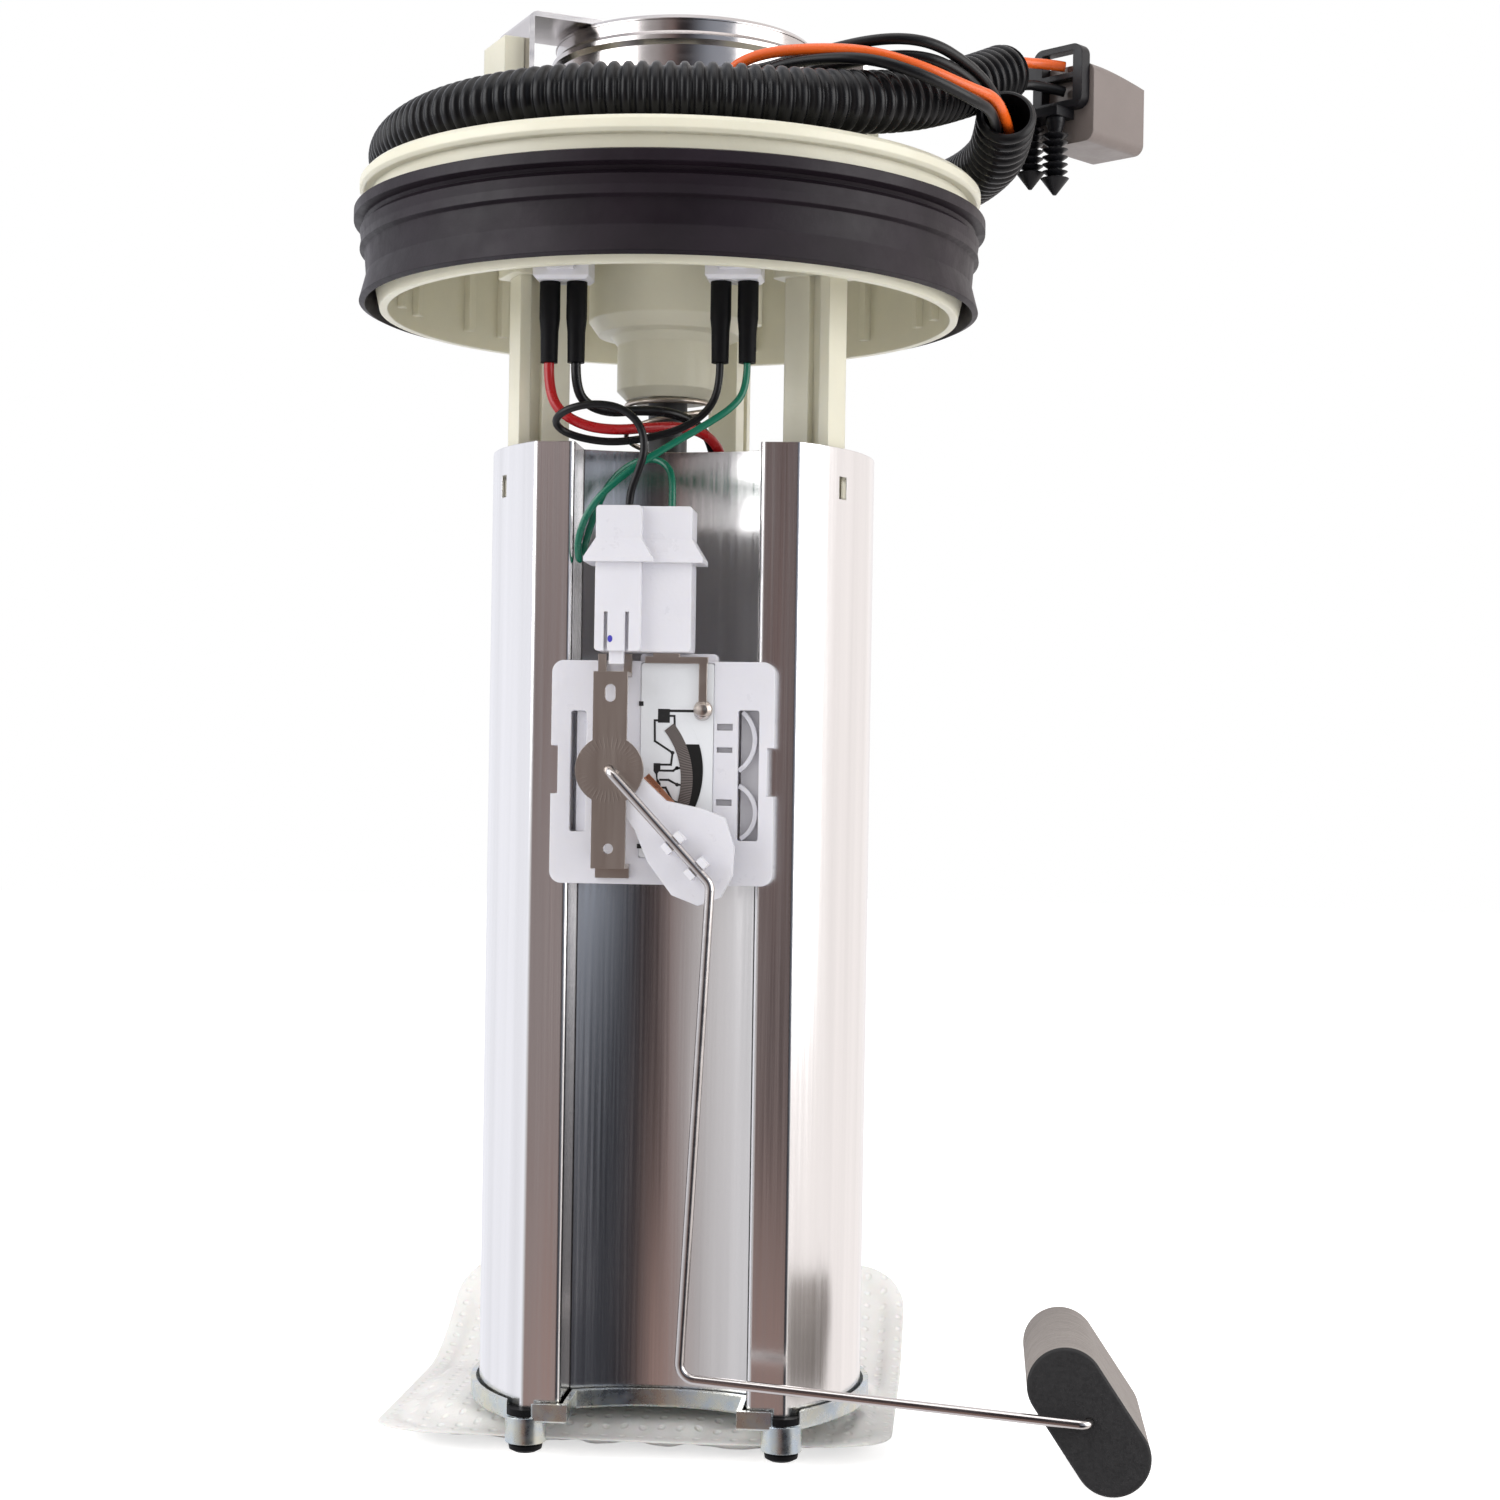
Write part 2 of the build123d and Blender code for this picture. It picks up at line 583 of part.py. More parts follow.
def guide_leg(angle):
    """A ribbed guide: a core, a thin web and an outer rail, with a stop behind the window."""
    half = LEG_W / 2
    top = -0.5
    core = block(LEG_IN, LEG_IN + LEG_CORE, -half, half, LEG_BOTTOM, top)
    web = block(LEG_IN + 2, LEG_OUT - 1, -LEG_WEB / 2, LEG_WEB / 2, LEG_BOTTOM + 1, top)
    rail = block(LEG_OUT - LEG_RAIL, LEG_OUT, -half, half, LEG_BOTTOM, top)
    body = core + web + rail
    if angle != LEG_ANGLES["rear"]:
        tab = block(LEG_OUT - LEG_RAIL, LEG_OUT + SHELL_WALL - 1.3, -1.2, 1.2, WINDOW_Z - 2, WINDOW_Z + 2)
        body = body + tab
    return leg_frame(angle) * body


def hold_down_spring():
    """The spring that pushes the reservoir away from the flange, a shaft of turns round the hose."""
    top = -SPOUT_H - SPRING_WIRE / 2 - SEAT
    bottom = CARRIER_Z + SPRING_WIRE / 2 + SEAT
    height = top - bottom
    wire = Helix(pitch=height / SPRING_TURNS, height=height, radius=SPRING_R, center=(0, 0, bottom))
    start = Plane(origin=wire @ 0, z_dir=wire % 0)
    return sweep(start * Circle(SPRING_WIRE / 2), path=wire, is_frenet=True)


def fuel_hose():
    """The nylon hose from the pump to the boss, pushed over the pump's nipple."""
    low = CARRIER_Z - 4
    height = -SPOUT_H + 6.5 - low
    return tube(0, 0, low, HOSE_R, HOSE_BORE, height)


# Reservoir and what is fixed in it


def shell_outline(grow):
    """The reservoir's section: a circle with a channel let into its front between two lands."""
    radius = SHELL_R + grow
    land = LAND_Y - grow
    side = CHANNEL_W / 2 - grow
    bed = CHANNEL_Y - grow
    edge = math.sqrt(radius ** 2 - land ** 2)
    crown = bed + CHANNEL_BOW
    back = ThreePointArc((edge, land), (0, radius), (-edge, land))
    left = Polyline((-edge, land), (-side, land), (-side, bed))
    floor = ThreePointArc((-side, bed), (0, crown), (side, bed))
    right = Polyline((side, bed), (side, land), (edge, land))
    return make_face(Wire([back, *left.edges(), floor, *right.edges()]))


def shell_prism(grow, z, height):
    return extrude(up(BODY_X, 0, z) * shell_outline(grow), height)


def reservoir_shell():
    body = shell_prism(0, SHELL_BOTTOM, SHELL_H)
    corners = body.edges().filter_by(Axis.Z).filter_by(lambda e: e.center().Y < LAND_Y + 1)
    land_w = math.sqrt(SHELL_R ** 2 - LAND_Y ** 2) - CHANNEL_W / 2
    body = fillet(corners, min(CORNER_R, 0.4 * land_w))
    body = body - shell_prism(-SHELL_WALL, SHELL_BOTTOM - 1, SHELL_H + 2)
    for side in ("left", "right"):
        window = block(SHELL_R - 4, SHELL_R + 4, -WINDOW_W / 2, WINDOW_W / 2, WINDOW_Z - WINDOW_H / 2,
                       WINDOW_Z + WINDOW_H / 2)
        body = body - leg_frame(LEG_ANGLES[side]) * window
    return body


def bottom_pan():
    """The plated steel tray under the reservoir, with two drawn cups for the isolators."""
    body = shell_prism(PAN_GROW, PAN_UNDER, PAN_RIM)
    body = fillet(body.edges().group_by(Axis.Z)[0], 0.8)
    hollow = shell_prism(PAN_GROW - PAN_T, PAN_FLOOR, PAN_RIM + 1)
    for side in (-1, 1):
        x = BODY_X + side * CUP_X
        body = body + cyl(x, CUP_Y, PAN_UNDER - CUP_H, CUP_R, CUP_H + 1)
    body = body - hollow
    for side in (-1, 1):
        x = BODY_X + side * CUP_X
        body = body - cyl(x, CUP_Y, PAN_UNDER - CUP_H - 1, PLUG_R + SEAT, CUP_H + 4)
        body = body - cyl(x, CUP_Y, PAN_FLOOR, PLUG_HEAD_R + SEAT, PAN_RIM)
    body = body - cyl(BODY_X, PUMP_Y, PAN_UNDER - 1, NECK_OUT + RUN, 4)
    return body


def isolator_plug(side):
    """A rubber plug in a cup, with a head that the shell stands on."""
    x = BODY_X + side * CUP_X
    head = PAN_FLOOR_DROP - 2 * SEAT
    low = PAN_UNDER - CUP_H
    outline = [(0, PAN_FLOOR + SEAT + head), (PLUG_HEAD_R, PAN_FLOOR + SEAT + head),
               (PLUG_HEAD_R, PAN_FLOOR + SEAT), (PLUG_R, PAN_FLOOR + SEAT), (PLUG_R, low - 0.3),
               (PLUG_R + 0.5, low - 0.6), (PLUG_R + 0.3, low - 1.6), (PLUG_R - 0.8, low - 2.2),
               (0, low - 2.2)]
    return turned(outline, x, CUP_Y)


def isolator_plugs():
    return Compound(children=[isolator_plug(-1), isolator_plug(1)])


def pump_carrier():
    """The moulding in the shell that holds the pump and seats the spring."""
    top = shell_prism(-SHELL_WALL - SEAT, CARRIER_Z - CARRIER_T, CARRIER_T)
    cup = tube(0, 0, CARRIER_Z - 0.5, SPRING_R + 2.6, SPRING_R + 1.0, CARRIER_CUP_H)
    pocket = tube(BODY_X, PUMP_Y, PUMP_TOP - POCKET_H, POCKET_R, POCKET_R - POCKET_WALL + SEAT,
                  CARRIER_Z - CARRIER_T + 0.5 - PUMP_TOP + POCKET_H)
    body = top + cup + pocket
    rib = block(BODY_X - 1, BODY_X + 1, 0, SHELL_R - SHELL_WALL - 0.6, CARRIER_Z - 30, CARRIER_Z - 1)
    for angle in (-55, 0, 55):
        body = body + Pos(BODY_X, 0, 0) * Rot(0, 0, angle) * Pos(-BODY_X, 0, 0) * rib
    inside = cyl(BODY_X, PUMP_Y, PUMP_TOP - POCKET_H - 2, POCKET_R - POCKET_WALL + SEAT,
                 CARRIER_Z - CARRIER_T - PUMP_TOP + POCKET_H + 2)
    body = body - inside
    body = body - cyl(0, 0, CARRIER_Z - 12, HOSE_R + RUN, 20)
    return body


def pump_body():
    low = PUMP_TOP - PUMP_H
    outline = [(0, PUMP_TOP), (PUMP_R - 1.2, PUMP_TOP), (PUMP_R, PUMP_TOP - 1.2), (PUMP_R, low + 1.2),
               (PUMP_R - 1.2, low), (0, low)]
    return turned(outline, BODY_X, PUMP_Y)


def pump_outlet_cap():
    """The pump's upper end, with its outlet nipple under the hose and its two terminals."""
    low = PUMP_TOP + SEAT
    high = CARRIER_Z - CARRIER_T - RUN
    body = cyl(BODY_X, PUMP_Y, low, PUMP_R - 2.0, high - low)
    nipple_base = CARRIER_Z - CARRIER_T - 1
    body = body - cyl(0, 0, nipple_base - 1, HOSE_R + 1, 20)
    body = body + cyl(0, 0, low, NIPPLE_R, CARRIER_Z + 8 - low)
    return body - cyl(0, 0, low + 2, NIPPLE_R - 1.0, 60)


def pump_sleeve():
    """The rubber sleeve between the pump and its carrier."""
    low = PUMP_TOP - 2 - SLEEVE_H
    return tube(BODY_X, PUMP_Y, low, PUMP_R + SLEEVE_T, PUMP_R + SEAT, SLEEVE_H)


def pump_inlet_cap():
    top = PUMP_TOP - PUMP_H - SEAT
    body = cyl(BODY_X, PUMP_Y, top - PUMP_CAP_H, PUMP_R - 1.0, PUMP_CAP_H)
    return body + cyl(BODY_X, PUMP_Y, top - PUMP_CAP_H - INLET_H, INLET_R, INLET_H + 0.5)


def strainer_neck():
    """The strainer's moulded neck, pushed over the pump's inlet."""
    top = PUMP_TOP - PUMP_H - SEAT - PUMP_CAP_H - RUN
    low = SOCK_TOP + SEAT
    bore = INLET_R + SEAT
    neck = tube(BODY_X, PUMP_Y, low, NECK_OUT, bore, top - low)
    flare = tube(BODY_X, PUMP_Y, low, NECK_OUT + NECK_FLARE, bore, PAN_UNDER - RUN - low)
    return neck + flare


def strainer_sock():
    """The felt bag under the plate: a flat pillow that rises behind the reservoir."""
    low = SOCK_LOW
    high = SOCK_TOP
    back = SOCK_BACK
    rise = SOCK_RISE
    flat = Line((SOCK_BEND, low), (0, low))
    toe = Spline([(0, low), (SOCK_FRONT, low + 2.4)], tangents=[(-1, 0), (-1, 0.25)])
    heel = Spline([(back, low + rise + 1), (SOCK_BEND, low)], tangents=[(-1, -0.6), (-1, 0)])
    top_heel = Spline([(SOCK_BEND, high), (back - 1, low + rise + 4)], tangents=[(1, 0), (1, 0.6)])
    top_flat = Line((0, high), (SOCK_BEND, high))
    top_toe = Spline([(SOCK_FRONT, low + 4.6), (0, high)], tangents=[(1, 0.3), (1, 0)])
    ends = [Line(toe @ 1, top_toe @ 0), Line(top_heel @ 1, heel @ 0)]
    outline = [flat, toe, ends[0], top_toe, top_flat, top_heel, ends[1], heel]
    side = Plane(origin=(SOCK_X - SOCK_W / 2, 0, 0), x_dir=(0, 1, 0), z_dir=(1, 0, 0))
    body = extrude(side * make_face(Wire(outline)), SOCK_W)
    plan = up(SOCK_X, (SOCK_FRONT + back) / 2, low - 20) * RectangleRounded(SOCK_W, back - SOCK_FRONT, 13)
    return body & extrude(plan, 80)


# Level sender


def sx(x):
    """Across, from the reservoir's axis to the part's frame."""
    return x + BODY_X


def at_pivot(angle=0.0):
    """The pivot's own frame: X along an arm at that angle, Y forward and back as in the part."""
    return Pos(sx(PIVOT_X), 0, PIVOT_Z) * Rot(0, -angle, 0)


def disc_y(x, z, radius, y0, y1):
    """A round piece whose axis runs front to back, between two depths."""
    return extrude(facing(x, max(y0, y1), z) * Circle(radius), abs(y1 - y0))


def sender_base():
    """The moulded plate across the reservoir's lands, with rails that grip the channel."""
    x0, x1 = sx(BASE_X - BASE_W / 2), sx(BASE_X + BASE_W / 2)
    z0, z1 = BASE_Z - BASE_H / 2, BASE_Z + BASE_H / 2
    front, back = BASE_FRONT - 1, BASE_BACK + 1
    body = pad(x0, x1, z0, z1, BASE_BACK, BASE_T, 2.6)
    body = body + pad(sx(TAB_X0), sx(TAB_X1), z1 - 2, SENDER_PLUG_Z0 - SEAT, BASE_BACK, BASE_T - 0.6, 0.8)
    side = CHANNEL_W / 2 - SEAT
    for inner, outer in ((-side, -side + RAIL_W), (side - RAIL_W, side)):
        body = body + block(sx(inner), sx(outer), BASE_BACK - 1, LAND_Y + RAIL_REACH, z0 + RAIL_INSET,
                            z1 - RAIL_INSET)
    for edge in (x0 - 1, x1 - 1.5):
        body = body - block(edge, edge + 2.5, front, back, BASE_Z + SIDE_NOTCH_LOW, BASE_Z + SIDE_NOTCH_HIGH)
    body = body - pad(sx(WINDOW_RIGHT_X0), sx(WINDOW_RIGHT_X1), BASE_Z + WINDOW_RIGHT_LOW,
                      BASE_Z + WINDOW_RIGHT_HIGH, back, BASE_T + 2, 0.6)
    for low, high in SLOT_HEIGHTS:
        body = body - block(sx(SLOT_X0), sx(SLOT_X1), front, back, BASE_Z + low, BASE_Z + high)
    body = body - pad(sx(WINDOW_LEFT_X0), sx(WINDOW_LEFT_X1), BASE_Z + WINDOW_LEFT_LOW,
                      BASE_Z + WINDOW_LEFT_HIGH, back, BASE_T + 2, 0.6)
    body = body - block(sx(CARD_X0 - SEAT), sx(CARD_X1 + SEAT), front, BASE_FRONT + CARD_INLAY,
                        CARD_Z0 - SEAT, CARD_Z1 + SEAT)
    hub = disc_y(sx(PIVOT_X), PIVOT_Z, HUB_STUB_R + PIN_GAP, back, front)
    return joined([body - hub] + [spring_arc(BASE_Z + height) for height in SPRING_ARC_HEIGHTS])


def spring_arc(z):
    """A thin sprung arc in the plate's right window."""
    x, radius = sx(SPRING_ARC_X), SPRING_ARC_R
    ring = disc_y(x, z, radius, BASE_BACK - 0.5, BASE_BACK - 2.0) \
        - disc_y(x, z, radius - 1.0, BASE_BACK, BASE_BACK - 3.0)
    return ring & block(sx(WINDOW_RIGHT_X0 - 0.5), sx(WINDOW_RIGHT_X1 + 0.4), BASE_BACK - 3, BASE_BACK,
                        z - radius - 1, z + radius + 1)


def resistor_card():
    body = block(sx(CARD_X0), sx(CARD_X1), CARD_FRONT, CARD_FRONT + CARD_T - SEAT, CARD_Z0, CARD_Z1)
    return fillet(body.edges().filter_by(Axis.Y), 0.6)


def resistor_track():
    """The printed arc that the wiper sweeps, with its solder pad."""
    ring = disc_y(sx(PIVOT_X), PIVOT_Z, TRACK_R + TRACK_W / 2, CARD_FRONT - SEAT / 5, CARD_FRONT - TRACK_T) \
        - disc_y(sx(PIVOT_X), PIVOT_Z, TRACK_R - TRACK_W / 2, CARD_FRONT + 1, CARD_FRONT - 2)
    sector = facing(sx(PIVOT_X), CARD_FRONT + 1, PIVOT_Z) * make_face(
        Polyline((0, 0), (TRACK_REACH, TRACK_BELOW), (TRACK_REACH, TRACK_ABOVE), (0, 0)))
    return ring & extrude(sector, 4)


def sender_terminals():
    """The upper rail, the strip down to the card, its solder and the blade in the plug."""
    y0 = CARD_FRONT - 0.05
    front, back = y0 - 0.6 - TERMINAL_T, y0 - 0.6
    top = CARD_Z1 + 1.4
    x0, x1 = sx(CARD_X1 - 3.2), sx(CARD_X1 - 1.4)
    rail = block(sx(CARD_X0 + 0.8), sx(CARD_X1 - 1.2), front, back, CARD_Z1, top)
    blade = block(sx(-1.6), sx(4.2), front, back, CARD_Z1 + 0.4, SENDER_PLUG_Z0 - SEAT)
    strip = block(x0, x1, front, back, CARD_Z1 - 8.6, top - 0.5)
    foot = block(x0, x1, front, y0, CARD_Z1 - 10.1, CARD_Z1 - 8.4)
    radius = SOLDER_R
    solder = turned([(0, 0), (radius, 0), (radius - 0.2, 0.8), (radius - 0.9, 1.6), (0, 1.9)])
    solder = Pos((x0 + x1) / 2, y0, CARD_Z1 - 10.0) * Rot(90, 0, 0) * solder
    return joined([rail, blade, strip, foot, solder])


def pivot_bridge():
    """The pressed steel strap that holds the wiper's hub, with a foot at each end."""
    x = sx(PIVOT_X)
    half = BRIDGE_W / 2
    low, high = PIVOT_Z - BRIDGE_REACH, PIVOT_Z + BRIDGE_REACH
    front = block(x - half, x + half, BRIDGE_BACK - BRIDGE_T, BRIDGE_BACK, low, high)
    body = front + disc_y(x, PIVOT_Z, BRIDGE_DISC_R, BRIDGE_BACK, BRIDGE_BACK - BRIDGE_T)
    foot_y = BASE_FRONT - SEAT
    for z in (low, high - BRIDGE_T):
        body = body + block(x - half, x + half, BRIDGE_BACK - BRIDGE_T, foot_y, z, z + BRIDGE_T)
    body = body + block(x - half, x + half, foot_y - BRIDGE_T, foot_y, low - 2.2, low + BRIDGE_T)
    for side in (-1, 1):
        prong = x + side * (half - 0.9)
        body = body + block(prong - 0.9, prong + 0.9, foot_y - BRIDGE_T, foot_y, high - BRIDGE_T,
                            SENDER_PLUG_Z0 - RUN)
    body = body - disc_y(x, PIVOT_Z, WIRE_R + PIN_GAP, BRIDGE_BACK + 1, BRIDGE_BACK - 2)
    slot = facing(x, BRIDGE_BACK + 1, PIVOT_Z + 16.6) * SlotOverall(3.8, 2.3, rotation=90)
    body = body - extrude(slot, 3)
    return body - disc_y(x, PIVOT_Z - 16.9, 1.1, BRIDGE_BACK + 1, BRIDGE_BACK - 2)


def sender_plug():
    """The two-way plug over the sender, with a flared collar and a latch tongue."""
    back = SENDER_PLUG_BACK
    x0, step, x1 = SENDER_PLUG_X0, SENDER_PLUG_STEP_X, SENDER_PLUG_X1
    low, high = SENDER_PLUG_Z0, SENDER_PLUG_Z1
    deep, shallow = SENDER_PLUG_D, SENDER_PLUG_SIDE_D
    body = pad(sx(x0), sx(step), low, high, back, deep, 0.8) + pad(sx(step - 1), sx(x1), low, high, back, shallow, 0.8)
    for left, right, depth in ((x0, step, deep), (step - 0.5, x1, shallow)):
        body = body + plug_collar(left, right, depth)
    for x in (x0 + 2.4, x0 + 7.0):
        body = body - block(sx(x) - 0.4, sx(x) + 0.4, back - deep - 1.6, back - deep + 1.8, low - 1, low + 8.4)
    tongue = block(sx(x0 + 3.1), sx(x0 + 6.3), back - deep + 0.8, back - deep + 2.2, low - 2.8, low + 1)
    return body + tongue


def plug_collar(left, right, depth):
    """The flare round one half of the plug, which a thumb pulls it off by."""
    width = right - left
    middle = sx((left + right) / 2)
    y = SENDER_PLUG_BACK - depth / 2
    narrow = up(middle, y, SENDER_PLUG_Z1 - 7.0) * Rectangle(width, depth)
    flared = Rectangle(width + COLLAR_GROW, depth + 1.2)
    wide = up(middle, y - 0.6, SENDER_PLUG_Z1 - 11.2) * flared
    foot = up(middle, y - 0.6, SENDER_PLUG_Z1 - 12.2) * flared
    return loft([narrow, wide]) + loft([wide, foot])


def wiper_carrier():
    """The moulding on the arm: a hub, a neck and a fan that the wire is clipped to."""
    depth = FAN_BACK - FAN_FRONT
    fan = facing(0, FAN_BACK, 0) * make_face(Polyline(
        (0, 3.6), (13.0, 4.6), (19.7, 9.4), (24.2, 11.6), (30.4, 8.8), (34.6, 4.4), (36.4, -0.6),
        (34.4, -5.4), (28.9, -8.1), (20.2, -7.2), (13.0, -4.6), (0, -3.6), close=True))
    body = extrude(fan, depth)
    body = body + disc_y(0, 0, HUB_R, BASE_FRONT - RUN, FAN_FRONT)
    body = body + disc_y(0, 0, HUB_STUB_R, BASE_FRONT - 2 * RUN, BASE_BACK - 1)
    for x in (21.0, 28.4):
        for side in (-1, 1):
            inner = side * (WIRE_R + SEAT)
            outer = side * (WIRE_R + 1.5)
            body = body + block(x - 1.2, x + 1.2, FAN_FRONT - 4.4, FAN_FRONT + 0.2,
                                min(inner, outer), max(inner, outer))
    body = body - disc_y(0, 0, WIRE_R + SEAT, BASE_BACK - 2, WIRE_Y - 2.5)
    return at_pivot(ARM_ANGLE) * body


def wiper_contact():
    """The sprung copper leaf behind the carrier that touches the track."""
    back = FAN_BACK + SEAT
    leaf = block(6.0, 19.4, back, back + 0.35, -3.9, 5.6)
    leaf = leaf - block(12.5, 15.5, back - 1, back + 1, -2.0, 3.6)
    fingers = []
    tip = CARD_FRONT - TRACK_T - 0.08
    for z in (-2.6, 2.0):
        fingers.append(block(TRACK_R - 0.5, TRACK_R + 0.5, back, tip, z, z + 1.4))
    return at_pivot(ARM_ANGLE) * joined([leaf] + fingers)


def arm_bends():
    """The arm's corners, from its inner end to its end behind the float."""
    x = sx(PIVOT_X)
    far = FLOAT_FRONT + FLOAT_D
    return [(x, BASE_FRONT - 1.5, PIVOT_Z), (x, WIRE_Y, PIVOT_Z), (sx(KNEE[0]), WIRE_Y, KNEE[1]),
            (sx(ANKLE[0]), WIRE_Y, ANKLE[1]), (sx(FLOAT_X), WIRE_Y, FLOAT_Z), (sx(FLOAT_X), far + 3, FLOAT_Z)]


def float_arm_wire():
    path = FilletPolyline(*arm_bends(), radius=[2.0, 3.0, 3.5, 2.2])
    return sweep(Plane(origin=path @ 0, z_dir=path % 0) * Circle(WIRE_R), path=path)


def float_retainer():
    """A push-on washer at the wire's end, behind the float."""
    y = FLOAT_FRONT + FLOAT_D + RUN
    x = sx(FLOAT_X)
    return disc_y(x, FLOAT_Z, RETAINER_R, y, y + 0.8) - disc_y(x, FLOAT_Z, WIRE_R + SEAT, y - 1, y + 2)


def float_body():
    """The float: a stadium section along the wire's end, with a bore that it turns on."""
    front = FLOAT_FRONT
    plane = Plane(origin=(sx(FLOAT_X), front + FLOAT_D, FLOAT_Z), x_dir=(1, 0, 0), z_dir=(0, -1, 0))
    body = extrude(plane * SlotOverall(FLOAT_L, FLOAT_W, rotation=FLOAT_TILT), FLOAT_D)
    ends = body.faces().filter_by(Axis.Y).edges()
    body = chamfer(ends, 0.5)
    return body - disc_y(sx(FLOAT_X), FLOAT_Z, WIRE_R + PIN_GAP, front - 1, front + FLOAT_D + 1)


# Harness on top of the flange


def lead_boot(x):
    """A rubber boot on the flange's top that two leads come out of."""
    low = FLANGE_T + SEAT
    body = block(x - BOOT_W / 2, x + BOOT_W / 2, BOOT_Y - BOOT_D / 2, BOOT_Y + BOOT_D / 2, low, low + BOOT_H)
    return chamfer(body.edges().group_by(Axis.Z)[-1], 1.0)


def connector_frame():
    """The connector's own frame: X across, Y along it away from the leads."""
    return Pos(*CONNECTOR) * Rot(0, 0, -CONNECTOR_TURN)


def connector_retainer():
    """The black plate that locks the leads in, with two windows and an ear."""
    half = CONNECTOR_W / 2
    high = CONNECTOR_H / 2
    body = block(-half, half, -RETAINER_D, 0, -high, high)
    body = fillet(body.edges().filter_by(Axis.Y), 2.6)
    for z in (0.8, -high + 1.8):
        body = body - block(-half + 2.6, half - 2.6, -RETAINER_D - 1, 1, z, z + 5.0)
    ear = block(-half - 3.6, -half + 1, -RETAINER_D, -RETAINER_D + 1.6, 0.4, high - 1.4)
    return connector_frame() * (body + ear)


def connector_housing():
    """The grey housing, open at its far end, with a latch and a top that slopes down."""
    half = HOUSING_W / 2
    top = HOUSING_TOP
    low = top - HOUSING_H
    body = block(-half, half, SEAT, HOUSING_D, low, top)
    body = fillet(body.edges().filter_by(Axis.Y), 2.4)
    slope_start = 2.0
    above = block(-half - 1, half + 1, 0, HOUSING_D, 0, HOUSING_WALL * 4)
    body = body - Pos(0, slope_start, top) * Rot(-HOUSING_SLOPE, 0, 0) * above
    fall = (HOUSING_D - slope_start) * math.tan(math.radians(HOUSING_SLOPE))
    inner = half - HOUSING_WALL
    mouth = block(-inner, inner, HOUSING_D - MOUTH_D, HOUSING_D + 1, low + HOUSING_WALL,
                  top - fall - HOUSING_WALL)
    latch = block(-half - 0.8, -half + 1, 9.0, 12.2, top - 8.5, top - 2.6)
    rib = block(-half - 0.6, -half + 1, 1.2, 8.0, low + 5.6, low + 10.4)
    return connector_frame() * (body - mouth + latch + rib)


def connector_blades():
    """Four terminals inside the connector's open end."""
    blades = []
    for x in (-BLADE_X, BLADE_X):
        for drop in BLADE_DROPS:
            z = HOUSING_TOP - drop
            blades.append(connector_frame() * block(x - BLADE_W / 2, x + BLADE_W / 2, HOUSING_D - MOUTH_D + SEAT,
                                                    HOUSING_D - 5, z - 0.4, z + 0.4))
    return Compound(children=blades)


def clip_bracket():
    """The arm under the retainer that carries the two fir-tree clips."""
    top = CONNECTOR[2] - CONNECTOR_H / 2 - SEAT
    body = block(-9.5, 3.0, -BRACKET_D, -0.4, -BRACKET_T, 0)
    return Pos(CONNECTOR[0], CONNECTOR[1], top) * Rot(0, 0, -CONNECTOR_TURN) * body


def fir_tree_clip(x, y, drop):
    """A push-in clip: a stem with rows of barbs and a pointed end."""
    top = CONNECTOR[2] - CONNECTOR_H / 2 - SEAT - BRACKET_T - SEAT
    outline = [(0, top), (2.2, top), (2.2, top - 1.0)]
    z = top - drop
    while z > top - drop - CLIP_H + 5:
        outline += [(1.5, z), (CLIP_R, z - 0.5), (1.5, z - 1.6)]
        z -= 1.7
    outline += [(1.5, z), (CLIP_R + 0.3, z - 0.4), (0.4, z - 4.2), (0, z - 4.2)]
    return turned(outline, x, y)


def fir_tree_clips():
    clips = []
    for x, y, drop in CLIP_PLACES:
        place = (connector_frame() * Pos(x, y, 0)).position
        clips.append(fir_tree_clip(place.X, place.Y, drop))
    return Compound(children=clips)


keep("tank_flange", tank_flange())
keep("tank_seal", tank_seal())
keep("filter_can", filter_can())
keep("filter_lid", filter_lid())
keep("filter_stem", filter_stem())
keep("filter_ring_upper", filter_ring(STEM_R, GROOVE, RING_Z))
keep("filter_ring_lower", filter_ring(TIP_R, TIP_GROOVE, TIP_RING_Z))
keep("fuel_supply_port", supply_port())
keep("filter_strap", strap())
keep("inner_plug_left", inner_plug(INNER_PLUGS[0]))
keep("inner_plug_right", inner_plug(INNER_PLUGS[1]))
keep("lead_sleeves", lead_sleeves())
keep("lead_boot_left", lead_boot(INNER_PLUGS[0]))
keep("lead_boot_right", lead_boot(INNER_PLUGS[1]))
for name, angle in LEG_ANGLES.items():
    keep("guide_leg_" + name, guide_leg(angle))
keep("hold_down_spring", hold_down_spring())
keep("fuel_hose", fuel_hose())
keep("reservoir_shell", reservoir_shell())
keep("bottom_pan", bottom_pan())
keep("isolator_plugs", isolator_plugs())
keep("pump_carrier", pump_carrier())
keep("pump_body", pump_body())
keep("pump_outlet_cap", pump_outlet_cap())
keep("pump_inlet_cap", pump_inlet_cap())
keep("pump_sleeve", pump_sleeve())
keep("strainer_neck", strainer_neck())
keep("strainer_sock", strainer_sock())
keep("sender_base", sender_base())
keep("resistor_card", resistor_card())
keep("resistor_track", resistor_track())
keep("sender_terminals", sender_terminals())
keep("pivot_bridge", pivot_bridge())
keep("sender_plug", sender_plug())
keep("wiper_carrier", wiper_carrier())
keep("wiper_contact", wiper_contact())
keep("float_arm_wire", float_arm_wire())
keep("float_retainer", float_retainer())
keep("float", float_body())
for name, (radius, route) in INNER_ROUTES.items():
    keep(name, cord(name, route, radius))
keep("harness_conduit", cord("harness_conduit", CONDUIT_ROUTE, CONDUIT_R, CONDUIT_BORE))
for name, route in LEAD_ROUTES.items():
    keep(name, cord(name, route, LEAD_R))
for name, route in SHORT_LEADS.items():
    keep(name, cord(name, route, LEAD_R))
keep("connector_retainer", connector_retainer())
keep("connector_housing", connector_housing())
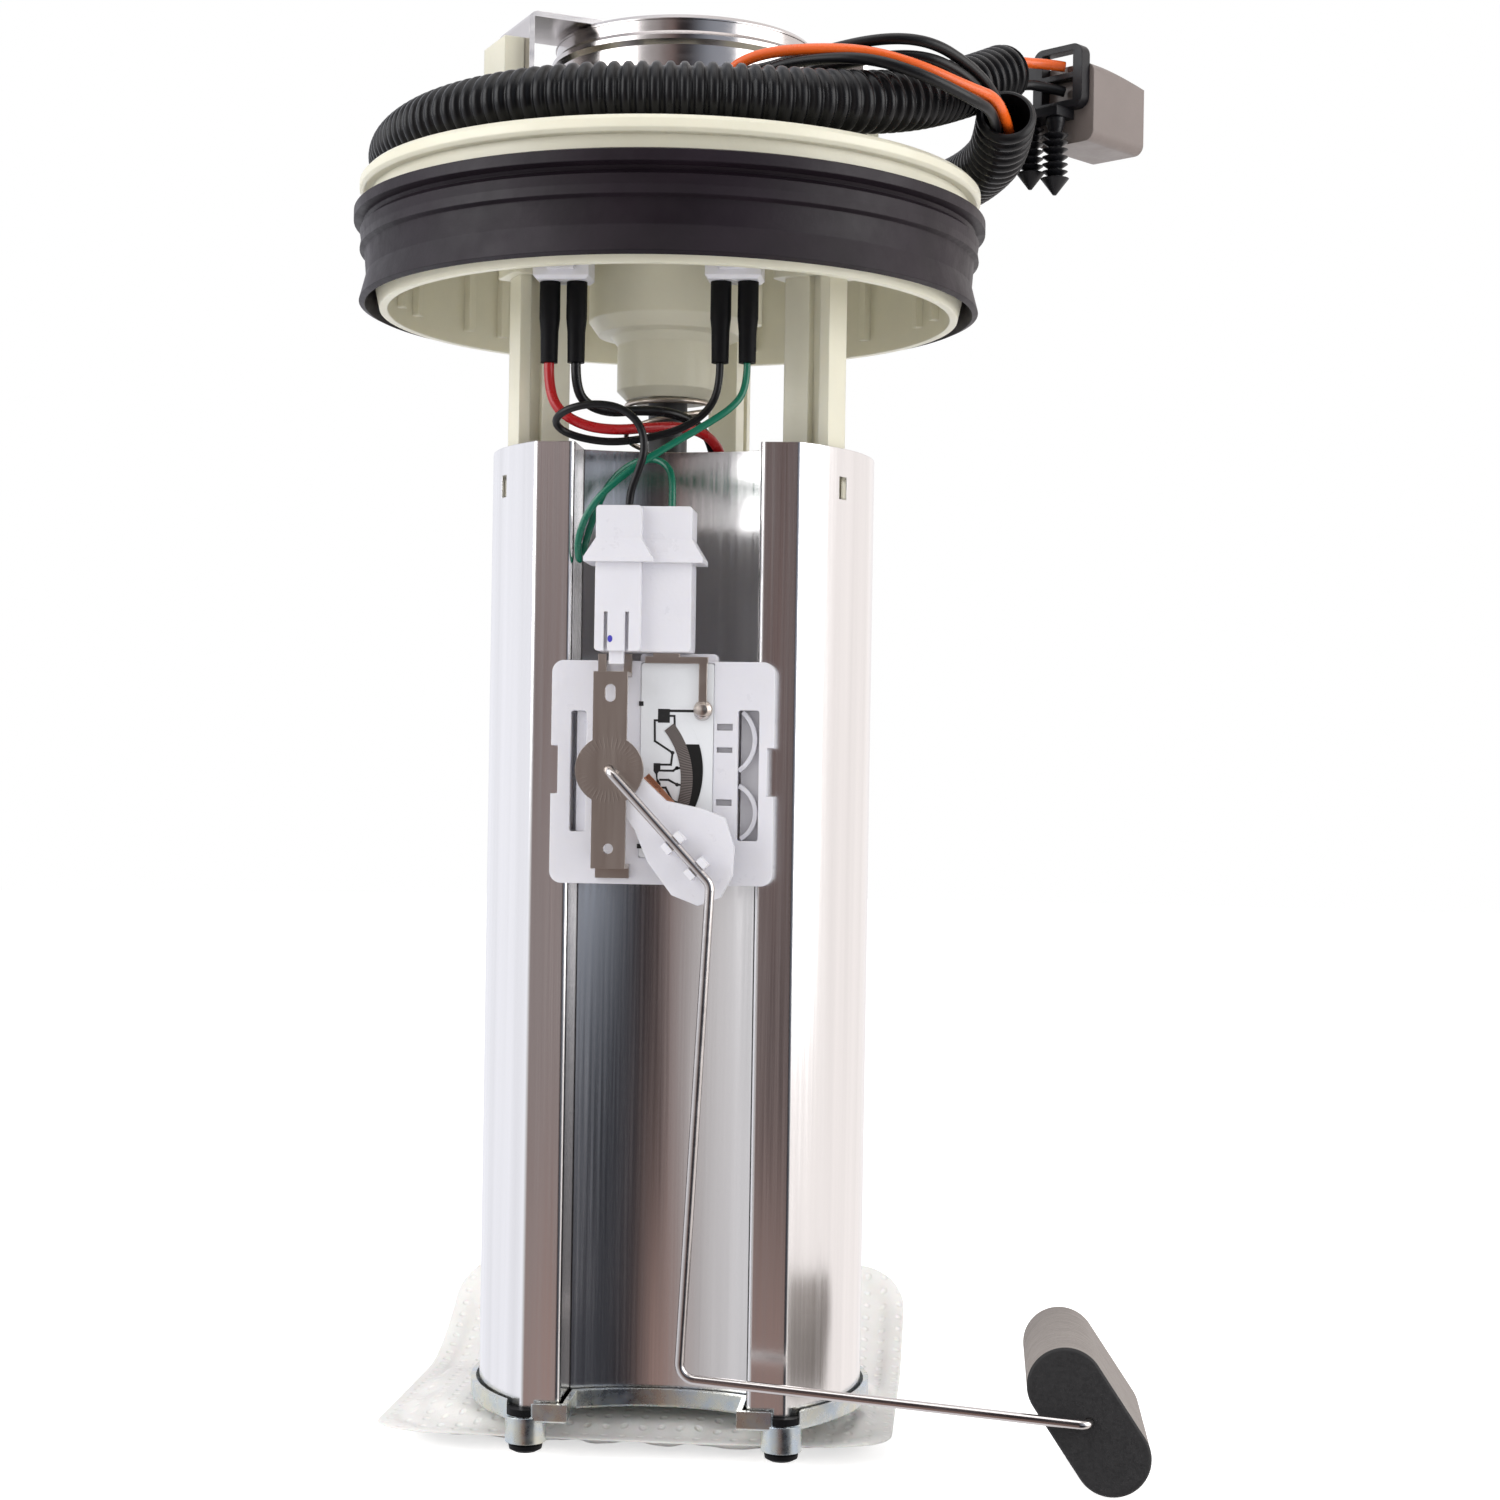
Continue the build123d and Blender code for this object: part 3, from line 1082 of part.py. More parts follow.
keep("connector_blades", connector_blades())
keep("clip_bracket", clip_bracket())
keep("fir_tree_clips", fir_tree_clips())

for name, shape in parts.items():
    export_step(shape, "parts/" + name + ".step")
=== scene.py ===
import json
import math
import random

import bmesh
import bpy
from mathutils import Matrix, Vector


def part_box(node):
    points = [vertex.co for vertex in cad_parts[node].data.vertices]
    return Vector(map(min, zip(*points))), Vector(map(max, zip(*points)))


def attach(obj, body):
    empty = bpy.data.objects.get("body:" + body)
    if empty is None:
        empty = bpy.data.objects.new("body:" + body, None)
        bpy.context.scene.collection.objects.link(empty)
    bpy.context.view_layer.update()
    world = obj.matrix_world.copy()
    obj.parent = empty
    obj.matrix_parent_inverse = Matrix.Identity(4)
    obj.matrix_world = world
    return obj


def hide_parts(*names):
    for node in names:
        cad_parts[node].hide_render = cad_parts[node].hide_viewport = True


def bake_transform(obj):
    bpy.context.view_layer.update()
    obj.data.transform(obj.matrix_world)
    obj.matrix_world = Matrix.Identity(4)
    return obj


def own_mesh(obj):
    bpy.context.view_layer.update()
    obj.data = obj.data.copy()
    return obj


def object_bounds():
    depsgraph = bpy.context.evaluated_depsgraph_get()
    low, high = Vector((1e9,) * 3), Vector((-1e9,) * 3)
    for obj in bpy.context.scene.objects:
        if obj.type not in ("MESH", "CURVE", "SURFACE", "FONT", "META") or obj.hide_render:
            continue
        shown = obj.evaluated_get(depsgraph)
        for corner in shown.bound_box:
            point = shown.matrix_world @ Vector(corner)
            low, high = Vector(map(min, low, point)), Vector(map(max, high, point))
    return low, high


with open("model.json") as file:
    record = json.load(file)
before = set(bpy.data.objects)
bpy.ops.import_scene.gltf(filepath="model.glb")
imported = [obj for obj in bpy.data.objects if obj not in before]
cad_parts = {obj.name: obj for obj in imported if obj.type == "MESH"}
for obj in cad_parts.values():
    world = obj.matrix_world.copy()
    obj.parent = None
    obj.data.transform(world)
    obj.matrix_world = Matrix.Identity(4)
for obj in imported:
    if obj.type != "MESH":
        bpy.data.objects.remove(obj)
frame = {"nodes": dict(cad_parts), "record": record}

bl_info = {
    "name": "Fuel Pump Module",
    "version": (1, 0, 0),
    "blender": (4, 5, 0),
    "location": "View3D > Sidebar > Fuel Module",
    "description": "Dresses an in-tank fuel pump module: flange, harness, reservoir, sender and strainer",
    "category": "Object",
}

MM = 0.001
CAD_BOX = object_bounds()


def mm(*values):
    """Millimetres to metres, as one vector."""
    return Vector([value * MM for value in values])


def colour_setting(name, what, *default):
    return bpy.props.FloatVectorProperty(
        name=name, description="Colour of the " + what, subtype="COLOR", size=3, default=default)


def setting(name, description, default, subtype="DISTANCE"):
    return bpy.props.FloatProperty(name=name, description=description, subtype=subtype, default=default)


class FinishColours(bpy.types.PropertyGroup):
    """Colours that a user would change."""
    ivory: colour_setting("Flange nylon", "flange and the guide legs", 0.73, 0.70, 0.565)
    acetal: colour_setting("Sender plastic", "sender and of all white plugs", 0.70, 0.69, 0.73)
    rubber: colour_setting("Seal rubber", "seal", 0.012, 0.0072, 0.0115)
    conduit: colour_setting("Conduit", "corrugated conduit", 0.005, 0.005, 0.006)
    orange: colour_setting("Orange lead", "orange lead's insulation", 0.80, 0.12, 0.012)
    red: colour_setting("Red lead", "red lead's insulation", 0.38, 0.008, 0.011)
    green: colour_setting("Green lead", "green lead's insulation", 0.002, 0.13, 0.075)
    felt: colour_setting("Strainer felt", "strainer sock", 0.88, 0.86, 0.83)
    housing: colour_setting("Connector housing", "grey connector housing", 0.20, 0.165, 0.15)


class ModuleSizes(bpy.types.PropertyGroup):
    """Sizes of the pieces that are made here."""
    conduit_pitch: setting("Conduit pitch", "Distance from one conduit ridge to the next", 2.9 * MM)
    conduit_crest: setting("Conduit crest radius", "Radius over the conduit's ridges", 6.7 * MM)
    conduit_root: setting("Conduit root radius", "Radius in the conduit's grooves", 5.75 * MM)
    conduit_bore: setting("Conduit bore radius", "Radius inside the conduit", 5.2 * MM)
    lead_radius: setting("Lead radius", "Radius of the harness leads", 1.2 * MM)
    dot_pitch: setting("Felt dot pitch", "Distance between the dots pressed in the felt", 4.2 * MM)
    dot_depth: setting("Felt dot depth", "Depth of the dots pressed in the felt", 0.35 * MM)


class StageSettings(bpy.types.PropertyGroup):
    """The camera and the studio."""
    lens: setting("Lens", "Focal length on a 36 mm sensor, in millimetres", 62.4, "NONE")
    distance: setting("Camera distance", "From the camera to the module's axis", 0.603)
    azimuth: setting("Azimuth", "Turn of the camera towards the float's side", math.radians(5.0), "ANGLE")
    roll: setting("Roll", "Lean of the camera", math.radians(0.9), "ANGLE")
    height: setting("Camera height", "Height of the camera from the flange's sealing face", -0.1344)
    side: setting("Camera side step", "Sideways step of the camera", 0.0204)
    shift_y: setting("Shift", "Vertical shift of the lens, as a share of the picture", 0.026, "NONE")
    floor_gap: setting("Floor gap", "Gap between the lowest point and the floor", 0.001)


# Node trees


def new_tree(name):
    material = bpy.data.materials.new(name)
    material.use_nodes = True
    tree = material.node_tree
    tree.nodes.clear()
    output = tree.nodes.new("ShaderNodeOutputMaterial")
    shader = tree.nodes.new("ShaderNodeBsdfPrincipled")
    tree.links.new(shader.outputs["BSDF"], output.inputs["Surface"])
    return material, tree, shader


def feed(tree, node, inputs):
    """Set a node's inputs; each is a fixed value or another node's output."""
    for key, value in inputs.items():
        if isinstance(value, bpy.types.NodeSocket):
            tree.links.new(value, node.inputs[key])
        else:
            node.inputs[key].default_value = value


def add(tree, kind, inputs=None, **settings):
    """One node with its settings and its inputs."""
    made = tree.nodes.new(kind)
    for key, value in settings.items():
        setattr(made, key, value)
    feed(tree, made, inputs or {})
    return made


def place(tree, scale):
    """The object's own coordinates, stretched."""
    coords = add(tree, "ShaderNodeTexCoord").outputs["Object"]
    return add(tree, "ShaderNodeMapping", {"Vector": coords, "Scale": scale}).outputs["Vector"]


def object_axes(tree):
    """The X, Y and Z of the object's own coordinates."""
    coords = add(tree, "ShaderNodeTexCoord").outputs["Object"]
    return add(tree, "ShaderNodeSeparateXYZ", {"Vector": coords}).outputs


def noise(tree, scale, detail=4.0, rough=0.55, stretch=(1.0, 1.0, 1.0)):
    return add(tree, "ShaderNodeTexNoise", {
        "Vector": place(tree, stretch), "Scale": scale, "Detail": detail, "Roughness": rough}).outputs["Fac"]


def remap(tree, value, low, high, start=0.3, end=0.7):
    """A value taken from start and end to low and high, and held there past them."""
    return add(tree, "ShaderNodeMapRange", {
        "Value": value, "From Min": start, "From Max": end, "To Min": low, "To Max": high}).outputs["Result"]


def maths(tree, operation, *values):
    """One sum; each value is a number or another node's output."""
    return add(tree, "ShaderNodeMath", dict(enumerate(values)), operation=operation).outputs[0]


def away(tree, value, centre):
    """How far a value is from a centre."""
    return maths(tree, "ABSOLUTE", maths(tree, "SUBTRACT", value, centre))


def mixed(tree, factor, first, second):
    """Two colours, each fixed or another node's output, by a factor."""
    first, second = ((*value, 1.0) if isinstance(value, tuple) else value for value in (first, second))
    return add(tree, "ShaderNodeMix", {"Factor": factor, "A": first, "B": second}, data_type="RGBA").outputs["Result"]


def mottled(tree, pattern, first, second):
    """Two colours by a noise."""
    return mixed(tree, remap(tree, pattern, 0.0, 1.0), first, second)


def tint(colour, by):
    return tuple(min(1.0, channel * by) for channel in colour)


def bump(tree, height, strength, distance, **normal):
    """A bumped normal; another normal may be given to start from."""
    return add(tree, "ShaderNodeBump", {
        "Height": height, "Strength": strength, "Distance": distance, **normal}).outputs["Normal"]


def relief(tree, height, strength, distance, edge):
    """A fine bump over edges that the mould or the press left round; edge is a radius in millimetres."""
    rounded = add(tree, "ShaderNodeBevel", {"Radius": edge * MM}, samples=4).outputs["Normal"]
    return bump(tree, height, strength, distance, Normal=rounded)


def insides(material):
    """A material's node tree and its shader."""
    tree = material.node_tree
    return tree, next(node for node in tree.nodes if node.type == "BSDF_PRINCIPLED")


# Node materials
GRAIN_DEPTH = 0.0002
MARK_DEPTH = 0.0001


def moulded(name, colour, rough, grain=900.0, depth=0.2, subsurface=0.0, spread=0.12, edge=0.35, shine=0.5):
    """A moulded plastic or rubber: slight mottling, fine grain and rounded edges."""
    material, tree, shader = new_tree(name)
    mottle = noise(tree, 60.0, 5.0)
    smears = noise(tree, 140.0, 6.0, 0.65)
    fine = noise(tree, grain, 3.0)
    feed(tree, shader, {
        "Base Color": mottled(tree, mottle, tint(colour, 1 - spread), tint(colour, 1 + spread)),
        "Roughness": remap(tree, smears, rough - 0.07, rough + 0.08),
        "Normal": relief(tree, fine, depth, GRAIN_DEPTH, edge),
        "Subsurface Weight": subsurface, "Subsurface Radius": (1.0, 0.9, 0.7), "Subsurface Scale": 0.0025,
        "Specular IOR Level": shine})
    return material


def metal(name, colour, rough, stretch=(1.0, 1.0, 1.0), scale=90.0, streak=0.1, depth=0.05, tone=0.08, edge=0.25):
    """Bare metal with drawing or rolling marks along one way."""
    material, tree, shader = new_tree(name)
    marks = noise(tree, scale, 6.0, 0.6, stretch)
    cloud = noise(tree, 28.0, 4.0)
    feed(tree, shader, {
        "Metallic": 1.0,
        "Base Color": mottled(tree, cloud, tint(colour, 1 - tone), tint(colour, 1 + tone)),
        "Roughness": remap(tree, marks, rough - streak, rough + streak),
        "Normal": relief(tree, marks, depth, MARK_DEPTH, edge)})
    return material


def drawn_aluminium(name):
    """The extrusion: bright, with fine draw lines down it, faint wider bands, and a painted shade on the channel's
    side walls.
    """
    material, tree, shader = new_tree(name)
    lines = noise(tree, 90.0, 6.0, 0.6, (14.0, 14.0, 0.12))
    bands = noise(tree, 30.0, 3.0, 0.5, (6.0, 6.0, 0.1))
    bright = mottled(tree, bands, (0.80, 0.79, 0.79), (0.91, 0.90, 0.90))
    feed(tree, shader, {
        "Metallic": 1.0,
        # Painted shade: the channel's side walls get a dark grey base colour that stands for the dark room's
        # reflection there
        "Base Color": mixed(tree, channel_wall_painted_shade(tree), bright, (0.14, 0.13, 0.135)),
        "Roughness": remap(tree, lines, 0.13, 0.26),
        "Normal": relief(tree, lines, 0.09, MARK_DEPTH, 0.3)})
    return material


# The shell's axis, and where the painted shade lies on the channel's side walls
SHELL_X = 4.0 * MM
CHANNEL_HALF, PAINTED_SHADE_BAND, CHANNEL_MOUTH = 20.5 * MM, 0.2 * MM, -32.7 * MM


def channel_wall_painted_shade(tree):
    """1 on the side walls of the front channel, where a painted shade darkens the metal, else 0."""
    axes = object_axes(tree)
    beside = maths(tree, "COMPARE", away(tree, axes["X"], SHELL_X), CHANNEL_HALF, PAINTED_SHADE_BAND)
    inside = maths(tree, "MULTIPLY", maths(tree, "GREATER_THAN", axes["Y"], CHANNEL_MOUTH),
                   maths(tree, "LESS_THAN", axes["Y"], 0.0))
    return maths(tree, "MULTIPLY", beside, inside)


def zinc_plate(name):
    """Bright zinc over pressed steel, faintly blue and yellow from its passivation."""
    material, tree, shader = new_tree(name)
    cloud = noise(tree, 110.0, 5.0, 0.7)
    spangle = noise(tree, 420.0, 4.0, 0.6)
    patches = remap(tree, cloud, 0.0, 1.0, 0.35, 0.65)
    feed(tree, shader, {
        "Metallic": 1.0,
        "Base Color": mixed(tree, patches, (0.50, 0.58, 0.66), (0.68, 0.67, 0.56)),
        "Roughness": remap(tree, spangle, 0.20, 0.38),
        "Normal": relief(tree, spangle, 0.12, MARK_DEPTH, 0.3)})
    return material


def foam_float(name):
    """Cellular rubber: a black skin on both ends, and sides cut by a wire that left them pale."""
    material, tree, shader = new_tree(name)
    facing = add(tree, "ShaderNodeNewGeometry").outputs["True Normal"]
    along = add(tree, "ShaderNodeSeparateXYZ", {"Vector": facing}).outputs["Y"]
    is_end = remap(tree, maths(tree, "ABSOLUTE", along), 0.0, 1.0, 0.35, 0.6)
    scratches = noise(tree, 260.0, 6.0, 0.7, (0.5, 9.0, 0.5))
    cells = noise(tree, 1500.0, 3.0, 0.6)
    side = mottled(tree, scratches, (0.19, 0.165, 0.15), (0.36, 0.325, 0.30))
    face = mottled(tree, cells, (0.010, 0.010, 0.011), (0.022, 0.021, 0.022))
    feed(tree, shader, {
        "Base Color": mixed(tree, is_end, side, face),
        "Roughness": remap(tree, cells, 0.62, 0.82),
        "Normal": relief(tree, cells, 0.35, GRAIN_DEPTH, 0.5)})
    return material


def pressed_felt(name, colour, pitch, depth):
    """Filter felt: matted fibres, rows of small dots pressed into it, and a soft painted shade of folds."""
    material, tree, shader = new_tree(name)
    dots = add(tree, "ShaderNodeTexVoronoi", {
        "Vector": place(tree, (1.0, 1.0, 0.0)), "Scale": 1.0 / pitch, "Randomness": 0.0}, feature="F1")
    from_dot = dots.outputs["Distance"]
    pressed = remap(tree, from_dot, 0.0, 1.0, 0.10, 0.24)
    fibres = noise(tree, 1300.0, 8.0, 0.75)
    # Painted shade: a broad noise darkens and lightens the felt's colour a little, as the shade of folds would
    folds = noise(tree, 45.0, 4.0, 0.6)
    shade = mottled(tree, folds, tint(colour, 0.93), tint(colour, 1.04))
    matted = bump(tree, fibres, 0.35, 0.0004)
    feed(tree, shader, {
        "Base Color": mixed(tree, remap(tree, from_dot, 0.8, 0.0, 0.10, 0.22), shade, tint(colour, 1.12)),
        "Roughness": remap(tree, fibres, 0.80, 0.96),
        "Normal": bump(tree, pressed, 0.8, depth, Normal=matted),
        "Sheen Weight": 0.25, "Sheen Roughness": 0.5, "Subsurface Weight": 0.12, "Subsurface Scale": 0.003})
    return material


def polar(tree, centre):
    """Angle and distance in the XZ plane about a centre in metres."""
    axes = object_axes(tree)
    across, rise = (maths(tree, "SUBTRACT", axes[axis], getattr(centre, axis.lower())) for axis in "XZ")
    squares = (maths(tree, "MULTIPLY", value, value) for value in (across, rise))
    return maths(tree, "ARCTAN2", rise, across), maths(tree, "SQRT", maths(tree, "ADD", *squares))


def rays(tree, angle, rate, low, high):
    """Stripes that run out from a centre."""
    return remap(tree, maths(tree, "SINE", maths(tree, "MULTIPLY", angle, rate)), 0.0, 1.0, low, high)


def pressed_bridge(name, colour, pivot):
    """Cold-rolled strip with the coining lines of its disc, which run out from the pivot."""
    material = metal(name, colour, 0.33, (6.0, 1.0, 0.4), 120.0, 0.05, 0.03, 0.05, 0.08)
    tree, shader = insides(material)
    angle, reach = polar(tree, pivot)
    band = maths(tree, "MULTIPLY", remap(tree, reach, 0.0, 1.0, 4.4 * MM, 5.2 * MM),
                 remap(tree, reach, 1.0, 0.0, 6.7 * MM, 7.1 * MM))
    lines = maths(tree, "MULTIPLY", rays(tree, angle, 44.0, 0.55, 0.95), band)
    feed(tree, shader, {"Normal": relief(tree, lines, 0.14, MARK_DEPTH, 0.08)})
    return material


def combed_ink(name, centre):
    """Printed carbon with the fine comb of conductors that the wiper crosses."""
    material = moulded(name, (0.15, 0.125, 0.115), 0.45, grain=2400.0, spread=0.15, edge=0.02, shine=0.3)
    tree, shader = insides(material)
    comb = rays(tree, polar(tree, centre)[0], 330.0, -0.3, 0.5)
    feed(tree, shader, {"Base Color": mixed(tree, comb, (0.045, 0.038, 0.036), (0.20, 0.17, 0.16))})
    return material


def part_printed(name, ink, ground, top):
    """Ink up to one height, and the bare card above it."""
    material = moulded(name, ink, 0.42, grain=2400.0, spread=0.2, edge=0.02, shine=0.3)
    tree, shader = insides(material)
    above = maths(tree, "GREATER_THAN", object_axes(tree)["Z"], top)
    feed(tree, shader, {"Base Color": mixed(tree, above, ink, ground)})
    return material


# The pivot of the float arm, and what is printed about it
PIVOT = mm(-6.0, -38.0, -130.8)
COMB_CENTRE = mm(-8.4, -38.0, -132.7)
CARD_WHITE = (0.74, 0.75, 0.77)
BARE_ABOVE = -124.9 * MM
WIRE_BLACK = (0.006, 0.006, 0.007)
STEEL = (0.56, 0.50, 0.45)
PVC = {"depth": 0.12}


def finishes(colours, sizes):
    """A finish for every material slot of the record, and for the nodes and pieces with a finish of their own."""
    return {
        "ivory_nylon": moulded("IvoryNylon", colours.ivory, 0.36, subsurface=0.2, spread=0.035, edge=0.5),
        "seal_rubber": moulded("SealRubber", colours.rubber, 0.46, grain=700.0, spread=0.25, edge=0.3, shine=0.24),
        "boot_rubber": moulded("BootRubber", WIRE_BLACK, 0.5, depth=0.3, spread=0.3, shine=0.1),
        "stainless_steel": metal(
            "StainlessSteel", (0.60, 0.57, 0.56), 0.20, (1.0, 1.0, 7.0), 70.0, 0.06, 0.02, 0.05, 0.04),
        "spring_steel": metal("SpringSteel", STEEL, 0.34, scale=500.0, streak=0.05, depth=0.02, tone=0.04),
        "white_acetal": moulded("WhiteAcetal", colours.acetal, 0.32, subsurface=0.22, spread=0.02, edge=0.35),
        "carrier_plastic": moulded("CarrierPlastic", (0.035, 0.036, 0.038), 0.45, spread=0.15),
        "extruded_aluminium": drawn_aluminium("ExtrudedAluminium"),
        "zinc_plated_steel": zinc_plate("ZincPlatedSteel"),
        "strainer_felt": pressed_felt("StrainerFelt", colours.felt, sizes.dot_pitch, sizes.dot_depth),
        "ceramic_white": moulded("CeramicWhite", CARD_WHITE, 0.42, grain=2200.0, depth=0.12, spread=0.02, edge=0.12),
        "resistor_ink": moulded("ResistorInk", (0.016, 0.016, 0.017), 0.4, grain=2400.0, spread=0.3, edge=0.03),
        "contact_copper": metal("ContactCopper", (0.72, 0.36, 0.22), 0.25, scale=300.0),
        "float_foam": foam_float("FloatFoam"),
        "conduit_black": moulded("ConduitBlack", colours.conduit, 0.30, spread=0.3, edge=0.15, shine=0.26, **PVC),
        "lead_orange_pvc": moulded("LeadOrange", colours.orange, 0.27, spread=0.05, **PVC),
        "lead_black_pvc": moulded("LeadBlack", WIRE_BLACK, 0.30, spread=0.2, shine=0.3, **PVC),
        "lead_red_pvc": moulded("LeadRed", colours.red, 0.25, spread=0.06, **PVC),
        "lead_green_pvc": moulded("LeadGreen", colours.green, 0.25, spread=0.08, **PVC),
        "connector_black": moulded("ConnectorBlack", (0.008, 0.008, 0.010), 0.38, spread=0.25, shine=0.3),
        "connector_grey": moulded("ConnectorGrey", colours.housing, 0.37, spread=0.05),
        "pivot_bridge": pressed_bridge("PressedBridge", STEEL, PIVOT),
        "resistor_track": part_printed("TrackInk", (0.010, 0.010, 0.010), CARD_WHITE, BARE_ABOVE),
        "comb": combed_ink("CombedInk", COMB_CENTRE),
        # Painted shade: the grey of the sheets behind the sender's window and in its slots
        "window_shade_web": moulded("WindowShadeWeb", (0.49, 0.48, 0.50), 0.4, spread=0.03),
        "blue_ink": moulded("BlueInk", (0.05, 0.045, 0.42), 0.5, spread=0.2),
    }


# Node name to material slot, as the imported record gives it
SLOTS = {part["node"]: part["material_slot"] for part in frame["record"]["subparts"]}
FINISH = {}


def dress(obj, slot):
    obj.data.materials.clear()
    obj.data.materials.append(FINISH[slot])
    return obj


def linked(name, data):
    obj = bpy.data.objects.new(name, data)
    bpy.context.scene.collection.objects.link(obj)
    return obj


def as_piece(mesh, name, slot, body=None, smooth=None, look=None):
    """A mesh as a finished piece that rides on a body; a look may differ from the slot's own."""
    obj = dress(linked(name, mesh), look or slot)
    if smooth is not None:
        mesh.shade_smooth()
        mesh.set_sharp_from_angle(angle=math.radians(smooth))
    if body:
        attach(obj, body)
    return obj


def mesh_from(made, name):
    """A mesh from a bmesh, which is freed."""
    mesh = bpy.data.meshes.new(name)
    made.to_mesh(mesh)
    made.free()
    return mesh


def mesh_of(name, vertices, faces):
    mesh = bpy.data.meshes.new(name)
    mesh.from_pydata([tuple(v) for v in vertices], [], faces)
    mesh.validate()
    mesh.update()
    return mesh


# Cord lines and the tubes that follow them


def cord_line(name, route):
    """One smooth line through a route in millimetres, as an open curve."""
    curve = bpy.data.curves.new(name, "CURVE")
    curve.dimensions = "3D"
    spline = curve.splines.new("NURBS")
    spline.points.add(len(route) - 1)
    for point, corner in zip(spline.points, route):
        point.co = (*mm(*corner), 1.0)
    spline.order_u = 3
    spline.use_endpoint_u = True
    curve.resolution_u = 12
    return curve


def line_points(curve):
    """The points that Blender gives for the line, in metres."""
    holder = linked("line_reader", curve)
    bpy.context.view_layer.update()
    mesh = bpy.data.meshes.new_from_object(holder.evaluated_get(bpy.context.evaluated_depsgraph_get()))
    points = [vertex.co.copy() for vertex in mesh.vertices]
    bpy.data.objects.remove(holder)
    bpy.data.meshes.remove(mesh)
    return points


def evenly(points, step):
    """The line's points at even distances, with the line's own length."""
    travelled = [0.0]
    for one, two in zip(points, points[1:]):
        travelled.append(travelled[-1] + (two - one).length)
    count = max(2, round(travelled[-1] / step))
    spaced, index = [], 0
    for number in range(count + 1):
        goal = travelled[-1] * number / count
        while index < len(points) - 2 and travelled[index + 1] < goal:
            index += 1
        span = travelled[index + 1] - travelled[index]
        share = (goal - travelled[index]) / span if span else 0.0
        spaced.append(points[index].lerp(points[index + 1], min(1.0, share)))
    return spaced, travelled[-1]


def frames_along(points):
    """A tangent and two sideways axes at each point, without twist."""
    last = len(points) - 1
    tangents = [(points[min(last, index + 1)] - points[max(0, index - 1)]).normalized() for index in range(last + 1)]
    side = tangents[0].orthogonal().normalized()
    made = []
    for tangent in tangents:
        side = (side - tangent * side.dot(tangent)).normalized()
        made.append((tangent, side, tangent.cross(side)))
    return made


def ringed_tube(name, points, radii, around=32, bore=None):
    """A tube with one radius a point. With a bore it is open, with a wall, and its ends are closed rings."""
    frames = frames_along(points)
    vertices, faces = [], []

    def ring(point, axes, radius):
        start = len(vertices)
        for step in range(around):
            angle = 2 * math.pi * step / around
            vertices.append(point + (axes[1] * math.cos(angle) + axes[2] * math.sin(angle)) * radius)
        return start

    def bridge(one, two):
        for step in range(around):
            after = (step + 1) % around
            faces.append((one + step, one + after, two + after, two + step))

    starts = [ring(p, axes, r) for p, axes, r in zip(points, frames, radii)]
    if bore:
        inner = [ring(p, axes, bore) for p, axes in zip(points, frames)]
        starts = starts + inner[::-1] + starts[:1]
    for one, two in zip(starts, starts[1:]):
        bridge(one, two)
    if not bore:
        faces.append(tuple(range(starts[0] + around - 1, starts[0] - 1, -1)))
        faces.append(tuple(range(starts[-1], starts[-1] + around)))
    return mesh_of(name, vertices, faces)


# Routes, as the CAD source has them but for the conduit's wider left bend, in millimetres
CONDUIT_ROUTE = [
    (77, -20.5, 16), (76, -8, 11.6), (72.6, 6, 10.5), (67, 22, 10.5), (58, 36, 10.5), (43, 51, 10.5),
    (22, 60, 10.5), (-6, 62.5, 10.5), (-33, 54, 10.5), (-56, 36, 10.5), (-66.6, 8, 10.5),
    (-60, -20, 10.5), (-43, -45, 10.5), (-17, -60, 10.5), (13, -60, 10.5), (37, -52, 10.8),
    (53.5, -36.5, 14.4), (66.2, -14, 23), (76.7, 1, 31)]
HARNESS_LEADS = {
    "lead_orange": [
        (15, -38, 13), (15.2, -38.2, 18), (17.8, -39, 22), (24, -40.6, 24.2), (34, -43, 24.5),
        (47, -46, 23.2), (58.5, -44, 20.3), (69, -36.4, 17.5), (76.2, -28, 17), (77.9, -13, 12.2)],
    "lead_black_front": [
        (21, -38, 13), (21.3, -38.4, 17.5), (25, -40.4, 21.0), (35, -43.9, 22.0), (47, -48.4, 21.0),
        (58.5, -47.4, 17.8), (68.8, -38.8, 14.8), (74.8, -29, 14.0), (75, -13, 11.9)],
    "lead_black_middle": [
        (-17, -38, 13), (-16.4, -37.6, 17.2), (-11, -36.4, 20.4), (4, -35, 20.9), (20, -34.4, 21.4),
        (36, -38.4, 25), (50, -42, 27), (60.5, -39.8, 26.8), (68.5, -31.6, 24), (74.2, -24.2, 20),
        (77.9, -12, 14.9)],
    "lead_black_rear": [
        (-23, -38, 13), (-22.2, -37.2, 16), (-17.5, -34.9, 17.4), (3, -34.4, 17.8), (20, -34.2, 18.4),
        (37, -36.4, 22.0), (51, -40, 23.8), (60.5, -39, 23.6), (67.6, -32.8, 21.4), (71.4, -27.2, 18.8),
        (73.9, -20.5, 16.2), (75.0, -12, 14.4)]}
CONNECTOR_LEADS = {
    "connector_lead_orange": [(75.2, -2.6, 33.1), (80.5, 4, 34.2), (87, 7.2, 34.6), (90.4, 8.0, 34.2)],
    "connector_lead_black": [(74.8, -0.9, 26.0), (80.2, 4, 29.4), (86.6, 7.0, 29.2), (90.4, 8.0, 28.4)]}
